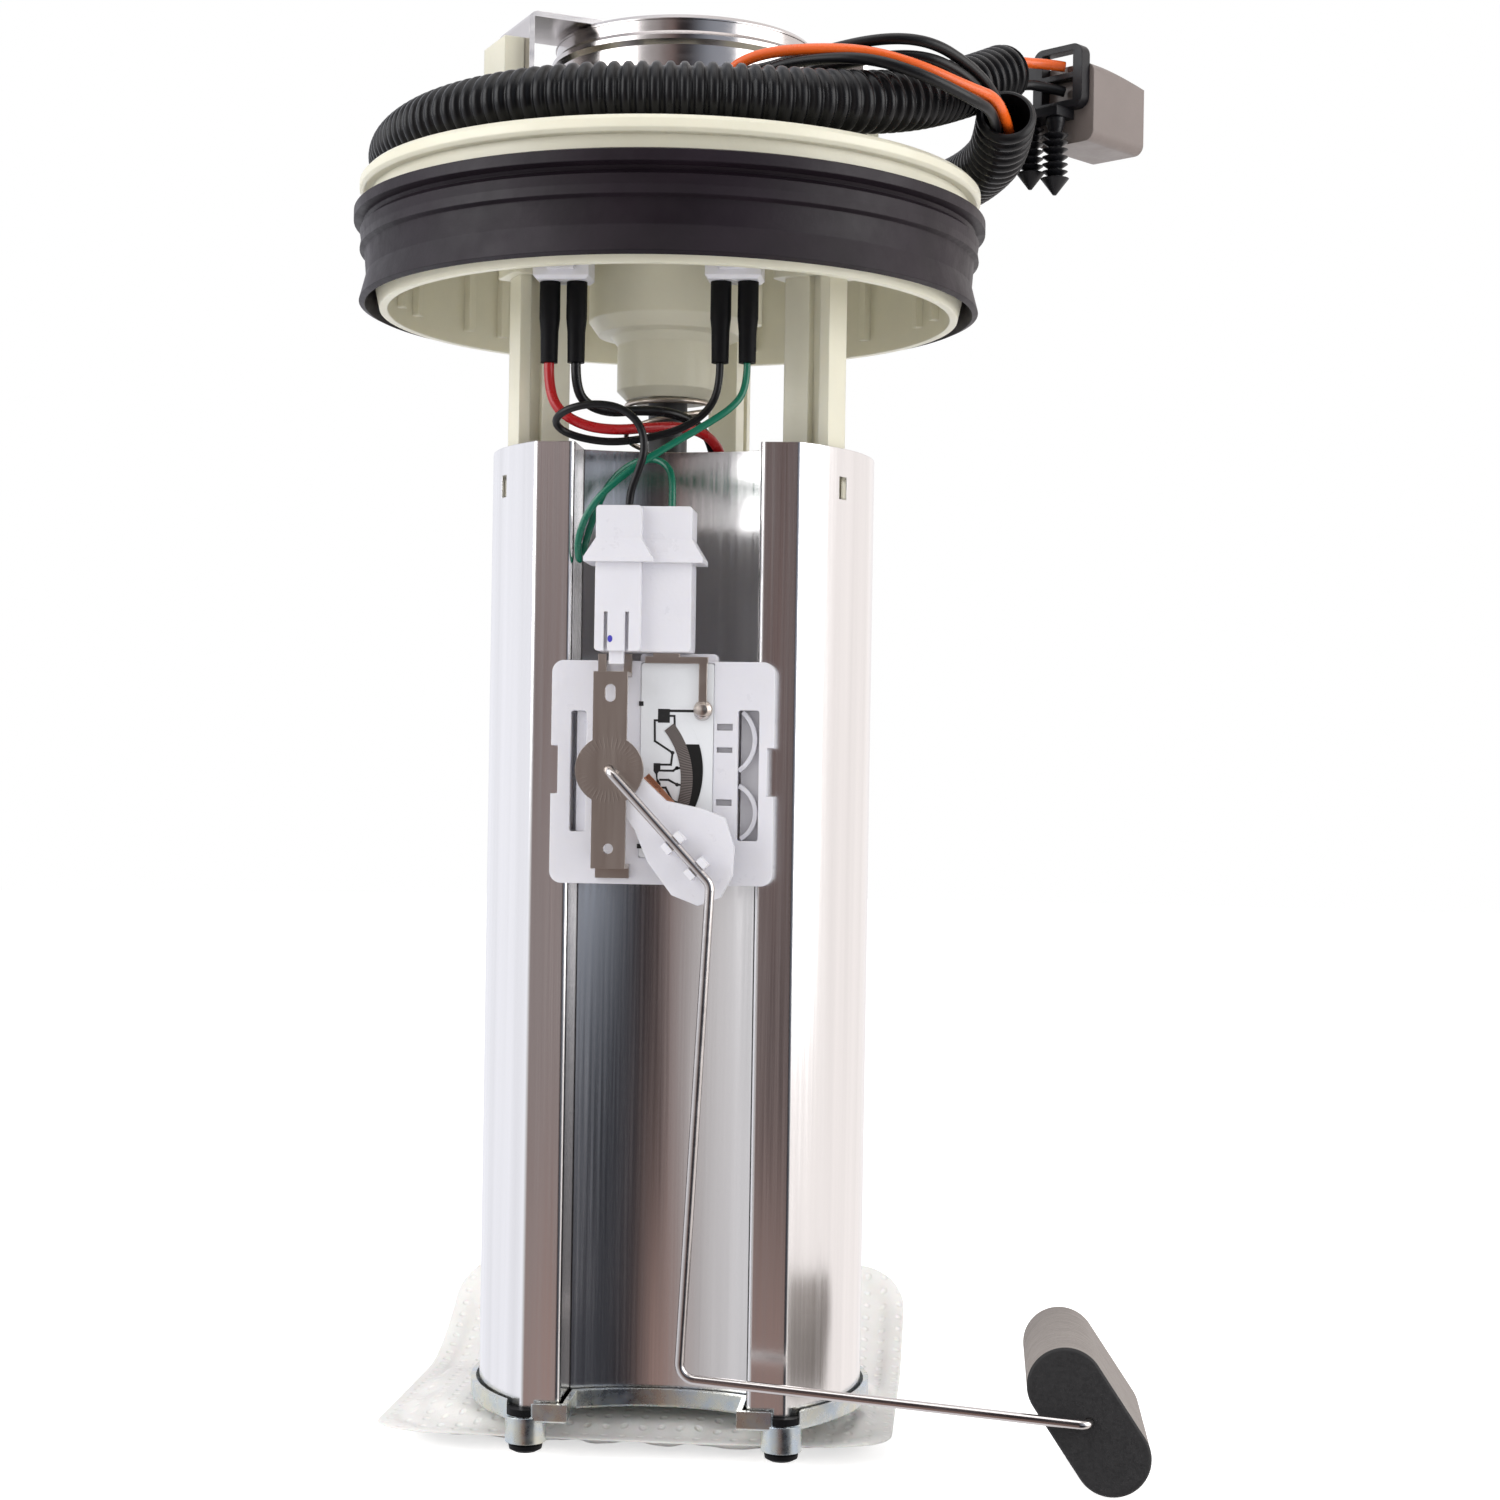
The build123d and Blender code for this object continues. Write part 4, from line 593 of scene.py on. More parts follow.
INNER_LEADS = {
    "lead_red": (1.15, -64.0, [
        (-23, -30, -40.9), (-23, -30, -46), (-20.8, -31.2, -51.5), (-15, -32, -55.0), (-8, -30.4, -55.8),
        (-1, -26.5, -54.6), (6, -21.5, -53.6), (11.4, -15.5, -54.8), (14.2, -10.0, -59.2), (14.6, -8.4, -66)]),
    "lead_black_left": (1.1, -61.0, [
        (-17, -30, -40.9), (-17, -30, -45), (-15.5, -28.6, -49.4), (-10.5, -25.6, -51.2), (-4, -22.6, -50.2),
        (3, -19.0, -50.0), (8.6, -14.2, -52.0), (11.8, -9.6, -56.4), (12.2, -7.6, -62.5)]),
    "lead_green": (0.8, -72.5, [
        (21, -30, -40.9), (21, -30, -46), (18.6, -31.8, -50.6), (12, -34.4, -55.4), (4, -36.8, -60.4),
        (-4, -38.4, -65.8), (-11.4, -38.8, -72.4), (-15.0, -37.4, -80.0), (-15.1, -33.2, -85.5),
        (-14.9, -28.6, -82.6), (-13.4, -26.8, -75.5), (-10.4, -27.2, -68.0), (-5, -29.2, -63.0),
        (1, -31.4, -61.8), (4.9, -33.8, -64.4), (5.8, -36.4, -69.4), (5.7, -37.0, -73.8)]),
    "lead_black_right": (0.85, -72.5, [
        (15, -30, -40.9), (15, -30, -46), (12.8, -29.8, -51.2), (7.4, -30.0, -55.2), (0, -30.6, -57.4),
        (-8, -31.0, -58.6), (-15, -31.4, -57.8), (-19.8, -33.2, -56.2), (-20.6, -36.8, -54.2),
        (-17.0, -39.4, -52.2), (-11, -40.2, -51.2), (-5, -40.4, -52.2), (-0.8, -40.6, -56.0),
        (0.2, -40.8, -61.4), (-1.6, -40.2, -66.6), (-3.2, -39.4, -70.4), (-3.4, -39.2, -73.85)])}


class FUELMODULE_OT_stage(bpy.types.Operator):
    """Place the camera, the pale floor and the soft studio light"""
    bl_idname = "fuelmodule.stage"
    bl_label = "Stage"

    def execute(self, context):
        stage = context.scene.fuel_stage
        aim_camera(context, stage)
        lay_floor(stage)
        studio_world(context)
        for lamp in SOFTBOXES:
            softbox(*lamp)
        context.scene.view_settings.view_transform = "Standard"
        return {"FINISHED"}


# Name, place, target, size in metres and power in watts
SOFTBOXES = [
    ("softbox_left", (-0.75, -0.45, 0.25), (0.0, 0.0, -0.13), 0.7, 5.0),
    ("softbox_right", (0.85, -0.25, 0.1), (0.0, 0.0, -0.15), 0.7, 4.5),
    ("softbox_top", (0.0, -0.25, 0.75), (0.0, 0.0, 0.0), 0.8, 2.5)]


def aim_camera(context, stage):
    """A level camera in front, turned a little to the right and raised by its shift."""
    data = bpy.data.cameras.new("camera")
    data.lens = stage.lens
    data.sensor_width = 36.0
    data.shift_y = stage.shift_y
    data.clip_start = 0.01
    camera = linked("camera", data)
    turn = stage.azimuth
    ahead = Vector((-math.sin(turn), math.cos(turn), 0.0))
    right = Vector((math.cos(turn), math.sin(turn), 0.0))
    place_at = right * stage.side - ahead * stage.distance
    place_at.z = stage.height
    level = Matrix.Rotation(turn, 4, "Z") @ Matrix.Rotation(math.radians(90), 4, "X")
    camera.matrix_world = Matrix.Translation(place_at) @ level @ Matrix.Rotation(stage.roll, 4, "Z")
    context.scene.camera = camera


WHITE = (1.0, 1.0, 1.0)
FLOOR_RADIUS = 3.0
FLOOR_GLOW = 0.62


def lay_floor(stage):
    """A pale round floor whose rim is far behind the module."""
    made = bmesh.new()
    bmesh.ops.create_circle(made, cap_ends=True, segments=96, radius=FLOOR_RADIUS)
    floor = linked("floor", mesh_from(made, "floor"))
    floor.location.z = CAD_BOX[0].z - stage.floor_gap
    floor.visible_glossy = False
    material, tree, shader = new_tree("PaleFloor")
    feed(tree, shader, {
        "Base Color": mottled(tree, noise(tree, 35.0, 4.0), (0.93, 0.93, 0.93), (0.96, 0.96, 0.96)),
        "Roughness": 0.9, "Specular IOR Level": 0.0})
    strength = maths(tree, "MULTIPLY", seen_rays(tree), FLOOR_GLOW)
    glow = add(tree, "ShaderNodeEmission", {"Color": (*WHITE, 1.0), "Strength": strength})
    both = add(tree, "ShaderNodeAddShader", {0: shader.outputs["BSDF"], 1: glow.outputs["Emission"]})
    output = next(node for node in tree.nodes if node.type == "OUTPUT_MATERIAL")
    feed(tree, output, {"Surface": both.outputs["Shader"]})
    floor.data.materials.append(material)


def seen_rays(tree):
    """1 for a ray that the camera, a gloss or a clear piece sends out, else 0."""
    path = add(tree, "ShaderNodeLightPath").outputs
    seen = maths(tree, "MAXIMUM", path["Is Camera Ray"], path["Is Glossy Ray"])
    return maths(tree, "MAXIMUM", seen, path["Is Transmission Ray"])


# What the gloss of front faces shows, from the far left at 0 to the far right at 1
STUDIO_FRONT = [
    (0.00, (0.80, 0.80, 0.82)), (0.13, (0.70, 0.69, 0.71)), (0.25, (0.62, 0.60, 0.61)),
    (0.33, (0.48, 0.45, 0.45)), (0.40, (0.25, 0.205, 0.20)), (0.46, (0.20, 0.135, 0.125)),
    (0.50, (0.045, 0.036, 0.038)), (0.66, (0.022, 0.023, 0.028)), (0.82, (0.045, 0.046, 0.055)),
    (0.92, (0.13, 0.13, 0.14)), (1.00, (0.40, 0.38, 0.38))]
LEFT_WHITE, RIGHT_WHITE = (0.93, 0.94, 1.0), (1.0, 0.945, 0.925)
PLAIN_LIGHT = (0.54, 0.54, 0.55)
WARM_WOOD, DARK_PATCH, PALE_WALL = (0.33, 0.225, 0.20), (0.048, 0.042, 0.045), (0.46, 0.50, 0.58)


def studio_world(context):
    """Plain light for soft shading, a dark gap between the softboxes for gloss, white for the camera."""
    world = bpy.data.worlds.new("studio")
    world.use_nodes = True
    context.scene.world = world
    tree = world.node_tree
    tree.nodes.clear()
    coords = add(tree, "ShaderNodeTexCoord").outputs["Generated"]
    axes = add(tree, "ShaderNodeSeparateXYZ", {"Vector": coords}).outputs
    across, depth, rise = (axes[axis] for axis in "XYZ")
    cloud = add(tree, "ShaderNodeTexNoise", {"Vector": coords, "Scale": 5.0, "Detail": 2.0})
    wander = remap(tree, cloud.outputs["Fac"], -0.10, 0.10)
    ramp = add(tree, "ShaderNodeValToRGB", {
        "Fac": remap(tree, maths(tree, "ADD", across, wander), 0.0, 1.0, -1.0, 1.0)})
    ramp.color_ramp.interpolation = "EASE"
    while len(ramp.color_ramp.elements) < len(STUDIO_FRONT):
        ramp.color_ramp.elements.new(0.5)
    for element, (position, colour) in zip(ramp.color_ramp.elements, STUDIO_FRONT):
        element.position = position
        element.color = (*colour, 1.0)
    streaks = add(tree, "ShaderNodeTexNoise", {"Vector": coords, "Scale": 9.0, "Detail": 3.0})
    varied = add(tree, "ShaderNodeVectorMath", {
        0: ramp.outputs["Color"], "Scale": remap(tree, streaks.outputs["Fac"], 0.62, 1.32)}, operation="SCALE")
    gap = gap_patches(tree, varied.outputs["Vector"], across, rise)
    sides = mixed(tree, remap(tree, across, 0.0, 1.0, -0.4, 0.4), LEFT_WHITE, RIGHT_WHITE)
    gloss = mixed(tree, remap(tree, depth, 0.0, 1.0, -0.62, -0.35), gap, sides)
    path = add(tree, "ShaderNodeLightPath").outputs
    plain = mixed(tree, path["Is Diffuse Ray"], gloss, PLAIN_LIGHT)
    shown = mixed(tree, path["Is Camera Ray"], plain, WHITE)
    background = add(tree, "ShaderNodeBackground", {"Color": shown, "Strength": 1.0})
    add(tree, "ShaderNodeOutputWorld", {"Surface": background.outputs["Background"]})


def gap_patches(tree, colour, across, rise):
    """The room in the dark gap: warm wood low in the middle, a dark patch, and a pale wall from the right."""
    beside = remap(tree, away(tree, across, -0.10), 1.0, 0.0, 0.06, 0.26)
    low = remap(tree, rise, 1.0, 0.0, -0.20, -0.12)
    warm = mixed(tree, maths(tree, "MULTIPLY", beside, low), colour, WARM_WOOD)
    right_land = remap(tree, away(tree, across, -0.08), 1.0, 0.0, 0.02, 0.06)
    middle = remap(tree, away(tree, rise, -0.12), 1.0, 0.0, 0.02, 0.07)
    warm = mixed(tree, maths(tree, "MULTIPLY", right_land, middle), warm, DARK_PATCH)
    slant = remap(tree, maths(tree, "MULTIPLY_ADD", rise, 8.0, across), 0.0, 1.0, -0.15, 0.35)
    pale = maths(tree, "MULTIPLY", slant, remap(tree, across, 0.0, 0.8, 0.15, 0.45))
    return mixed(tree, pale, warm, PALE_WALL)


def softbox(name, place_at, target, size, power):
    lamp = bpy.data.lights.new(name, "AREA")
    lamp.shape = "SQUARE"
    lamp.size = size
    lamp.energy = power
    facing = Vector(target) - Vector(place_at)
    turned = facing.to_track_quat("-Z", "Y").to_matrix().to_4x4()
    linked(name, lamp).matrix_world = Matrix.Translation(place_at) @ turned


class FUELMODULE_OT_finishes(bpy.types.Operator):
    """Give every carried-over node its finish"""
    bl_idname = "fuelmodule.finishes"
    bl_label = "Finishes"

    def execute(self, context):
        FINISH.update(finishes(context.scene.fuel_colours, context.scene.fuel_sizes))
        for name, obj in frame["nodes"].items():
            dress(obj, name if name in FINISH else SLOTS[name])
        return {"FINISHED"}


# One ridge and groove of the conduit, from root at 0 to crest at 1
RIDGE = (0.0, 0.06, 0.62, 0.94, 1.0, 1.0, 0.94, 0.62, 0.06)


class FUELMODULE_OT_conduit(bpy.types.Operator):
    """Run the corrugated conduit round the flange"""
    bl_idname = "fuelmodule.conduit"
    bl_label = "Conduit"

    def execute(self, context):
        sizes = context.scene.fuel_sizes
        steps = len(RIDGE)
        line = line_points(cord_line("conduit_line", CONDUIT_ROUTE))
        spaced, length = evenly(line, sizes.conduit_pitch / steps)
        rise = sizes.conduit_crest - sizes.conduit_root
        radii = [sizes.conduit_root + rise * RIDGE[number % steps] for number in range(len(spaced))]
        mesh = ringed_tube("conduit", spaced, radii, 36, sizes.conduit_bore)
        conduit = as_piece(mesh, "conduit", "conduit_black", "flange", 50)
        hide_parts("harness_conduit")
        for name, route in CONNECTOR_LEADS.items():
            lead(name, route, sizes.lead_radius).name
        return {"FINISHED"}


def lead(name, route, radius):
    """A plain insulated wire that stands for its CAD node."""
    curve = cord_line(name + "_wire", route)
    curve.bevel_depth = radius
    curve.bevel_resolution = 6
    curve.use_fill_caps = True
    obj = dress(linked(name + "_wire", curve), SLOTS[name])
    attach(obj, "flange")
    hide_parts(name)
    return obj


class FUELMODULE_OT_harness_leads(bpy.types.Operator):
    """Lead the four wires from the boots into the conduit's mouth"""
    bl_idname = "fuelmodule.harness_leads"
    bl_label = "Harness leads"

    def execute(self, context):
        radius = context.scene.fuel_sizes.lead_radius
        for name, route in HARNESS_LEADS.items():
            wire = lead(name, route, radius)
        return {"FINISHED"}


class FUELMODULE_OT_inner_leads(bpy.types.Operator):
    """Lead the inner wires from their sleeves down into the reservoir"""
    bl_idname = "fuelmodule.inner_leads"
    bl_label = "Inner leads"

    def execute(self, context):
        for name, (radius, foot, route) in INNER_LEADS.items():
            spaced, _ = evenly(line_points(cord_line(name + "_line", route)), 1.0 * MM)
            mesh = ringed_tube(name + "_wire", spaced, [radius * MM] * len(spaced), 20)
            wire = as_piece(mesh, name + "_wire", SLOTS[name], smooth=60)
            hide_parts(name)
            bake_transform(wire)
        return {"FINISHED"}


# The spring and the hose inside it, in millimetres
SPRING_TOP = -45.05
SPRING_FOOT = -125.95
SPRING_R = 9.6
SPRING_WIRE = 1.2
SPRING_TURNS = 8
TURN_STEPS = 40
HOSE_TOP = -38.5
HOSE_FOOT = -130.0
HOSE_R = 4.5
HOSE_BORE = 3.1
HOSE_STEPS = 12


class FUELMODULE_OT_spring(bpy.types.Operator):
    """Wind the spring round the hose, with its end turns closed"""
    bl_idname = "fuelmodule.spring"
    bl_label = "Spring and hose"

    def execute(self, context):
        line = spring_line()
        mesh = ringed_tube("spring_coil", line, [SPRING_WIRE / 2 * MM] * len(line), 14)
        coil = as_piece(mesh, "spring_coil", SLOTS["hold_down_spring"], "flange", 60)
        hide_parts("hold_down_spring")
        squeeze(coil)
        points = [mm(0, 0, HOSE_TOP + (HOSE_FOOT - HOSE_TOP) * step / HOSE_STEPS) for step in range(HOSE_STEPS + 1)]
        mesh = ringed_tube("nylon_hose", points, [HOSE_R * MM] * len(points), 40, HOSE_BORE * MM)
        hose = as_piece(mesh, "nylon_hose", SLOTS["fuel_hose"], "flange", 40)
        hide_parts("fuel_hose")
        squeeze(hose)
        return {"FINISHED"}


def spring_line():
    """The spring's line: a closed turn at each end and even turns between."""
    low = SPRING_FOOT + SPRING_WIRE / 2
    height = SPRING_TOP - SPRING_FOOT - SPRING_WIRE
    closed = SPRING_WIRE * 1.05
    points = []
    for step in range(SPRING_TURNS * TURN_STEPS + 1):
        turn = step / TURN_STEPS
        if turn < 1:
            rise = closed * turn
        elif turn > SPRING_TURNS - 1:
            rise = height - closed * (SPRING_TURNS - turn)
        else:
            rise = closed + (height - 2 * closed) * (turn - 1) / (SPRING_TURNS - 2)
        angle = 2 * math.pi * turn
        points.append(mm(SPRING_R * math.cos(angle), SPRING_R * math.sin(angle), low + rise))
    return points


def squeeze(obj):
    """Gives the piece its own copy of its mesh."""
    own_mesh(obj)


# The sock, in millimetres. Its back end bends up past SOCK_BEND, and SOCK_REST is its middle's height.
SOCK_W = 118.0
SOCK_FRONT = -24.0
SOCK_BACK = 92.0
SOCK_X, SOCK_Y = -3.0, (SOCK_FRONT + SOCK_BACK) / 2
SOCK_HALF = (SOCK_W / 2, (SOCK_BACK - SOCK_FRONT) / 2)
SOCK_BEND = 44.0
SOCK_RISE = 20.0
SOCK_REST = 3.2
SOCK_SEAM = 5.5
SOCK_SEAM_HALF, SOCK_EDGE_HALF, SOCK_PAD_HALF, SOCK_PAD_REACH = 0.25, 0.45, 2.2, 16.0
SOCK_CORNER = 13.0
SOCK_STEPS = 58
SWELL_LIMIT = 1.6 * MM
SWELL_FRAMES = 20
FELT_CLOTH = {
    "quality": 6, "mass": 0.25, "tension_stiffness": 12, "compression_stiffness": 12, "bending_stiffness": 0.4,
    "shrink_min": -0.035, "use_pressure": True, "uniform_pressure_force": 1.6, "vertex_group_mass": "seam"}
FOLD_WAVES = 7
FOLD_UNDER, FOLD_OPEN = 0.5, 1.1
PLATE_HALF, PLATE_BACK = 48, 46


class FUELMODULE_OT_sock(bpy.types.Operator):
    """Sew the felt sock and let it fill"""
    bl_idname = "fuelmodule.sock"
    bl_label = "Strainer sock"

    def execute(self, context):
        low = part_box("strainer_sock")[0].z
        sock = as_piece(sock_mesh(low), "felt_sock", "strainer_felt")
        fill_sock(context, sock)
        rumple(sock, low)
        smooth = sock.modifiers.new("rounding", "SUBSURF")
        smooth.levels = smooth.render_levels = 1
        for polygon in sock.data.polygons:
            polygon.use_smooth = True
        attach(sock, "reservoir")
        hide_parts("strainer_sock")
        return {"FINISHED"}


def sock_floor(y):
    """Height of the sock's middle layer above its lowest point, in millimetres."""
    if y > SOCK_BEND:
        share = (y - SOCK_BEND) / (SOCK_BACK - SOCK_BEND)
        return SOCK_REST + SOCK_RISE * share * share * (1.35 - 0.35 * share)
    if y < 0:
        return SOCK_REST + 0.6 * (y / SOCK_FRONT) ** 2
    return SOCK_REST


def edge_distance(x, y):
    """How far a point of the sock's plan is inside its rounded outline, in millimetres."""
    from_x = abs(x - SOCK_X) - (SOCK_HALF[0] - SOCK_CORNER)
    from_y = abs(y - SOCK_Y) - (SOCK_HALF[1] - SOCK_CORNER)
    if from_x > 0 and from_y > 0:
        return SOCK_CORNER - math.hypot(from_x, from_y)
    return SOCK_CORNER - max(from_x, from_y)


def sock_mesh(low):
    """Two felt layers that meet in a flat seam, as one closed mesh."""
    vertices, faces, index = [], [], {}
    for row in range(SOCK_STEPS + 1):
        for column in range(SOCK_STEPS + 1):
            u, v = 2 * column / SOCK_STEPS - 1, 2 * row / SOCK_STEPS - 1
            x, y = rounded_plan(u, v)
            inside = max(0.0, edge_distance(x, y) - SOCK_SEAM)
            half = SOCK_EDGE_HALF + SOCK_PAD_HALF * min(1.0, inside / SOCK_PAD_REACH) ** 0.55
            if max(abs(u), abs(v)) > 1 - 1e-6:
                half = SOCK_SEAM_HALF
            middle = sock_floor(y)
            for side in (-1, 1):
                index[side, row, column] = len(vertices)
                vertices.append(Vector((x * MM, y * MM, low + (middle + side * half) * MM)))
    for row in range(SOCK_STEPS):
        for column in range(SOCK_STEPS):
            corners = [(row, column), (row, column + 1), (row + 1, column + 1), (row + 1, column)]
            faces.append(tuple(index[1, r, c] for r, c in corners))
            faces.append(tuple(index[-1, r, c] for r, c in reversed(corners)))
    rim = [(0, c) for c in range(SOCK_STEPS)] + [(r, SOCK_STEPS) for r in range(SOCK_STEPS)]
    rim += [(SOCK_STEPS, c) for c in range(SOCK_STEPS, 0, -1)] + [(r, 0) for r in range(SOCK_STEPS, 0, -1)]
    for one, two in zip(rim, rim[1:] + rim[:1]):
        faces.append((index[-1, *one], index[-1, *two], index[1, *two], index[1, *one]))
    return mesh_of("felt_sock", vertices, faces)


def rounded_plan(u, v):
    """A square grid laid over the sock's plan, with its rim on the rounded outline."""
    x, y = u * SOCK_HALF[0], v * SOCK_HALF[1]
    inner_x, inner_y = (half - SOCK_CORNER for half in SOCK_HALF)
    over_x, over_y = abs(x) - inner_x, abs(y) - inner_y
    if over_x > 0 and over_y > 0:
        reach = max(over_x, over_y) / math.hypot(over_x, over_y)
        x = math.copysign(inner_x + over_x * reach, x)
        y = math.copysign(inner_y + over_y * reach, y)
    return SOCK_X + x, SOCK_Y + y


def fill_sock(context, sock):
    """A short cloth run with the seam pinned, so that the felt swells and creases."""
    rest = [vertex.co.copy() for vertex in sock.data.vertices]
    seam = sock.vertex_groups.new(name="seam")
    seam.add([v.index for v in sock.data.vertices if edge_distance(v.co.x / MM, v.co.y / MM) < SOCK_SEAM],
             1.0, "REPLACE")
    cloth = sock.modifiers.new("felt", "CLOTH")
    for key, value in FELT_CLOTH.items():
        setattr(cloth.settings, key, value)
    cloth.settings.effector_weights.gravity = 0.0
    cloth.point_cache.frame_start = 1
    cloth.point_cache.frame_end = SWELL_FRAMES
    for number in range(1, SWELL_FRAMES + 1):
        context.scene.frame_set(number)
    settled = sock.evaluated_get(context.evaluated_depsgraph_get()).data
    moved = [vertex.co.copy() for vertex in settled.vertices]
    sock.modifiers.remove(cloth)
    for vertex, start, end in zip(sock.data.vertices, rest, moved):
        shift = end - start
        if shift.length > SWELL_LIMIT:
            shift = shift.normalized() * SWELL_LIMIT
        vertex.co = start + shift
    context.scene.frame_set(1)


def rumple(sock, low):
    """Broad folds across the felt, kept above the floor and smaller under the plate."""
    draw = random.Random(11)
    waves = [(draw.uniform(0.05, 0.14), draw.uniform(-0.5, 0.5), draw.uniform(0, 6.28)) for _ in range(FOLD_WAVES)]
    for vertex in sock.data.vertices:
        x, y = vertex.co.x / MM, vertex.co.y / MM
        fold = sum(math.sin(x * rate + y * rate * lean + phase) for rate, lean, phase in waves) / FOLD_WAVES
        under = abs(x - SOCK_X) < PLATE_HALF and y < PLATE_BACK
        vertex.co.z += fold * (FOLD_UNDER if under else FOLD_OPEN) * MM
        vertex.co.z = max(vertex.co.z, low + 0.05 * MM)
    sock.data.update()


def rectangle(low, high):
    return [low, (high[0], low[1]), high, (low[0], high[1])]


# The card's print, in millimetres about the pivot. Filled shapes first, then lines with their widths.
PRINT_FILLED = [
    rectangle((5.3, 14.1), (6.3, 15.1)), rectangle((5.3, -16.9), (6.3, -15.9)), rectangle((9.5, 10.5), (12.1, 13.5)),
    [(8.7, -5.3), (10.3, -5.3), (10.3, -2.7), (9.6, -1.6), (9.6, -0.5), (10.2, 0.3), (10.2, 1.7), (8.7, 1.7),
     (8.7, 0.0), (9.2, -0.7), (9.4, -2.3), (8.7, -3.3)]]
PRINT_LINES = [
    (0.55, [(12.1, 13.1), (17.0, 13.1)]),
    (0.45, [(12.1, 12.0), (13.1, 12.0), (13.2, 9.6)]),
    (0.45, [(9.5, 11.0), (8.8, 11.0), (8.9, 6.5), (12.8, 4.0)]),
    (0.45, [(12.8, 4.0), (12.5, 1.4), (10.1, 1.4)]),
    (0.45, [(10.1, 0.1), (13.0, 0.1), (13.8, 0.7), (15.0, 0.7)]),
    (0.45, [(10.2, -1.9), (12.0, -1.9), (13.9, -2.9), (15.0, -3.0)]),
    (0.45, [(10.2, -3.6), (11.4, -3.6), (13.0, -6.5), (14.2, -6.8)]),
    (0.35, [(10.1, -5.0), (10.6, -5.2), (10.6, -6.7)])]
PRINT_DOTS = [(12.8, 4.0), (13.8, 0.7), (13.9, -2.9), (13.0, -6.5)]
DOT_R = 0.42
INK_T = 0.03
INK_SINK = 0.002
LIFT_STEP = 0.003
COMB_R, COMB_HALF = 18.4, 1.3
COMB_LOW, COMB_HIGH = -27.0, 38.6


def prism(made, outline, front, back):
    """A closed prism that faces forward; the outline is in millimetres in X and Z."""
    near = [made.verts.new(mm(x, front, z)) for x, z in outline]
    far = [made.verts.new(mm(x, back, z)) for x, z in outline]
    made.faces.new(near)
    made.faces.new(far[::-1])
    for number in range(len(outline)):
        after = (number + 1) % len(outline)
        made.faces.new((near[number], far[number], far[after], near[after]))


def from_pivot(points):
    return [(PIVOT.x / MM + x, PIVOT.z / MM + z) for x, z in points]


def stroke(one, two, width):
    """The four corners of a straight line with a width, square past its ends."""
    along = Vector((two[0] - one[0], two[1] - one[1])).normalized() * (width / 2)
    side = Vector((-along.y, along.x))
    start, end = Vector(one) - along, Vector(two) + along
    return [tuple(corner) for corner in (start - side, end - side, end + side, start + side)]


def arc_points(centre, radii, angles):
    return [(centre[0] + radii[0] * math.cos(a), centre[1] + radii[1] * math.sin(a)) for a in angles]


def oval(centre, radii, steps):
    return arc_points(centre, radii, [2 * math.pi * step / steps for step in range(steps)])


def ring_sector(centre, radius, half, low, high, steps):
    """A part of a flat ring, as an outline; angles in degrees."""
    angles = [math.radians(low + (high - low) * step / steps) for step in range(steps + 1)]
    inner = arc_points(centre, (radius - half, radius - half), angles)
    return arc_points(centre, (radius + half, radius + half), angles) + inner[::-1]


def flat_piece(name, outlines, front, back, slot, look=None):
    """Outlines made into one piece that rides on the reservoir."""
    made = bmesh.new()
    for number, outline in enumerate(outlines):
        prism(made, outline, front - LIFT_STEP * (number % 5), back)
    bmesh.ops.recalc_face_normals(made, faces=made.faces)
    as_piece(mesh_from(made, name), name, slot, "reservoir", look=look)


class FUELMODULE_OT_print(bpy.types.Operator):
    """Print the resistor card's pads, lines and comb"""
    bl_idname = "fuelmodule.print"
    bl_label = "Card print"

    def execute(self, context):
        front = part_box("resistor_card")[0].y / MM
        shapes = [from_pivot(outline) for outline in PRINT_FILLED]
        for width, line in PRINT_LINES:
            corners = from_pivot(line)
            shapes += [stroke(one, two, width) for one, two in zip(corners, corners[1:])]
        shapes += [oval(centre, (DOT_R, DOT_R), 16) for centre in from_pivot(PRINT_DOTS)]
        flat_piece("card_print", shapes, front - INK_T, front - INK_SINK, "resistor_ink")
        centre = (COMB_CENTRE.x / MM, COMB_CENTRE.z / MM)
        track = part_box("resistor_track")[0].y / MM
        comb = ring_sector(centre, COMB_R, COMB_HALF, COMB_LOW, COMB_HIGH, 40)
        flat_piece("card_comb", [comb], track - INK_T, front - INK_SINK, "resistor_ink", "comb")
        return {"FINISHED"}


# Small things on the sender, in millimetres: the fronts and backs are in Y, the rest in X and Z.
SOLDER_TOP, SOLDER_FOOT = (13.1, -114.9), (13.2, -119.8)
SOLDER_HALF_TOP, SOLDER_HALF_FOOT = 1.1, 2.4
SOLDER_RISE = 2.0
INK_DOT = (-6.2, -102.6)
INK_DOT_R = (0.55, 0.75)
INK_DOT_AHEAD = -90.0
RECESS_FLOOR = ((-14.4, -144.2), (-11.7, -117.9))
RECESS_FRONT, RECESS_BACK = -36.65, -36.1
# A grey sheet behind the right window, a painted shade for the grey seen through it
WEB = ((21.5, -145.7), (26.1, -117.4))
WEB_FRONT, WEB_BACK = -35.35, -35.1
# Centre about the pivot, radius, and the angles that each sprung arc runs between
WEB_ARCS = [((22.49696, 6.97087), 8.10484, -55.3935, 49.133), ((24.37848, -8.88354), 6.52511, -59.4003, 64.3794)]
WEB_ARC_FRONT, WEB_ARC_HALF = -36.6, 0.5
# Grey sheets in the slots, with the same painted shade
SLOT_WEBS = [
    ((16.42, -121.78), (19.78, -120.42)), ((16.42, -126.58), (19.78, -125.52)),
    ((16.42, -138.08), (19.78, -136.82))]
SLOT_FRONT, SLOT_BACK = -36.7, -36.2


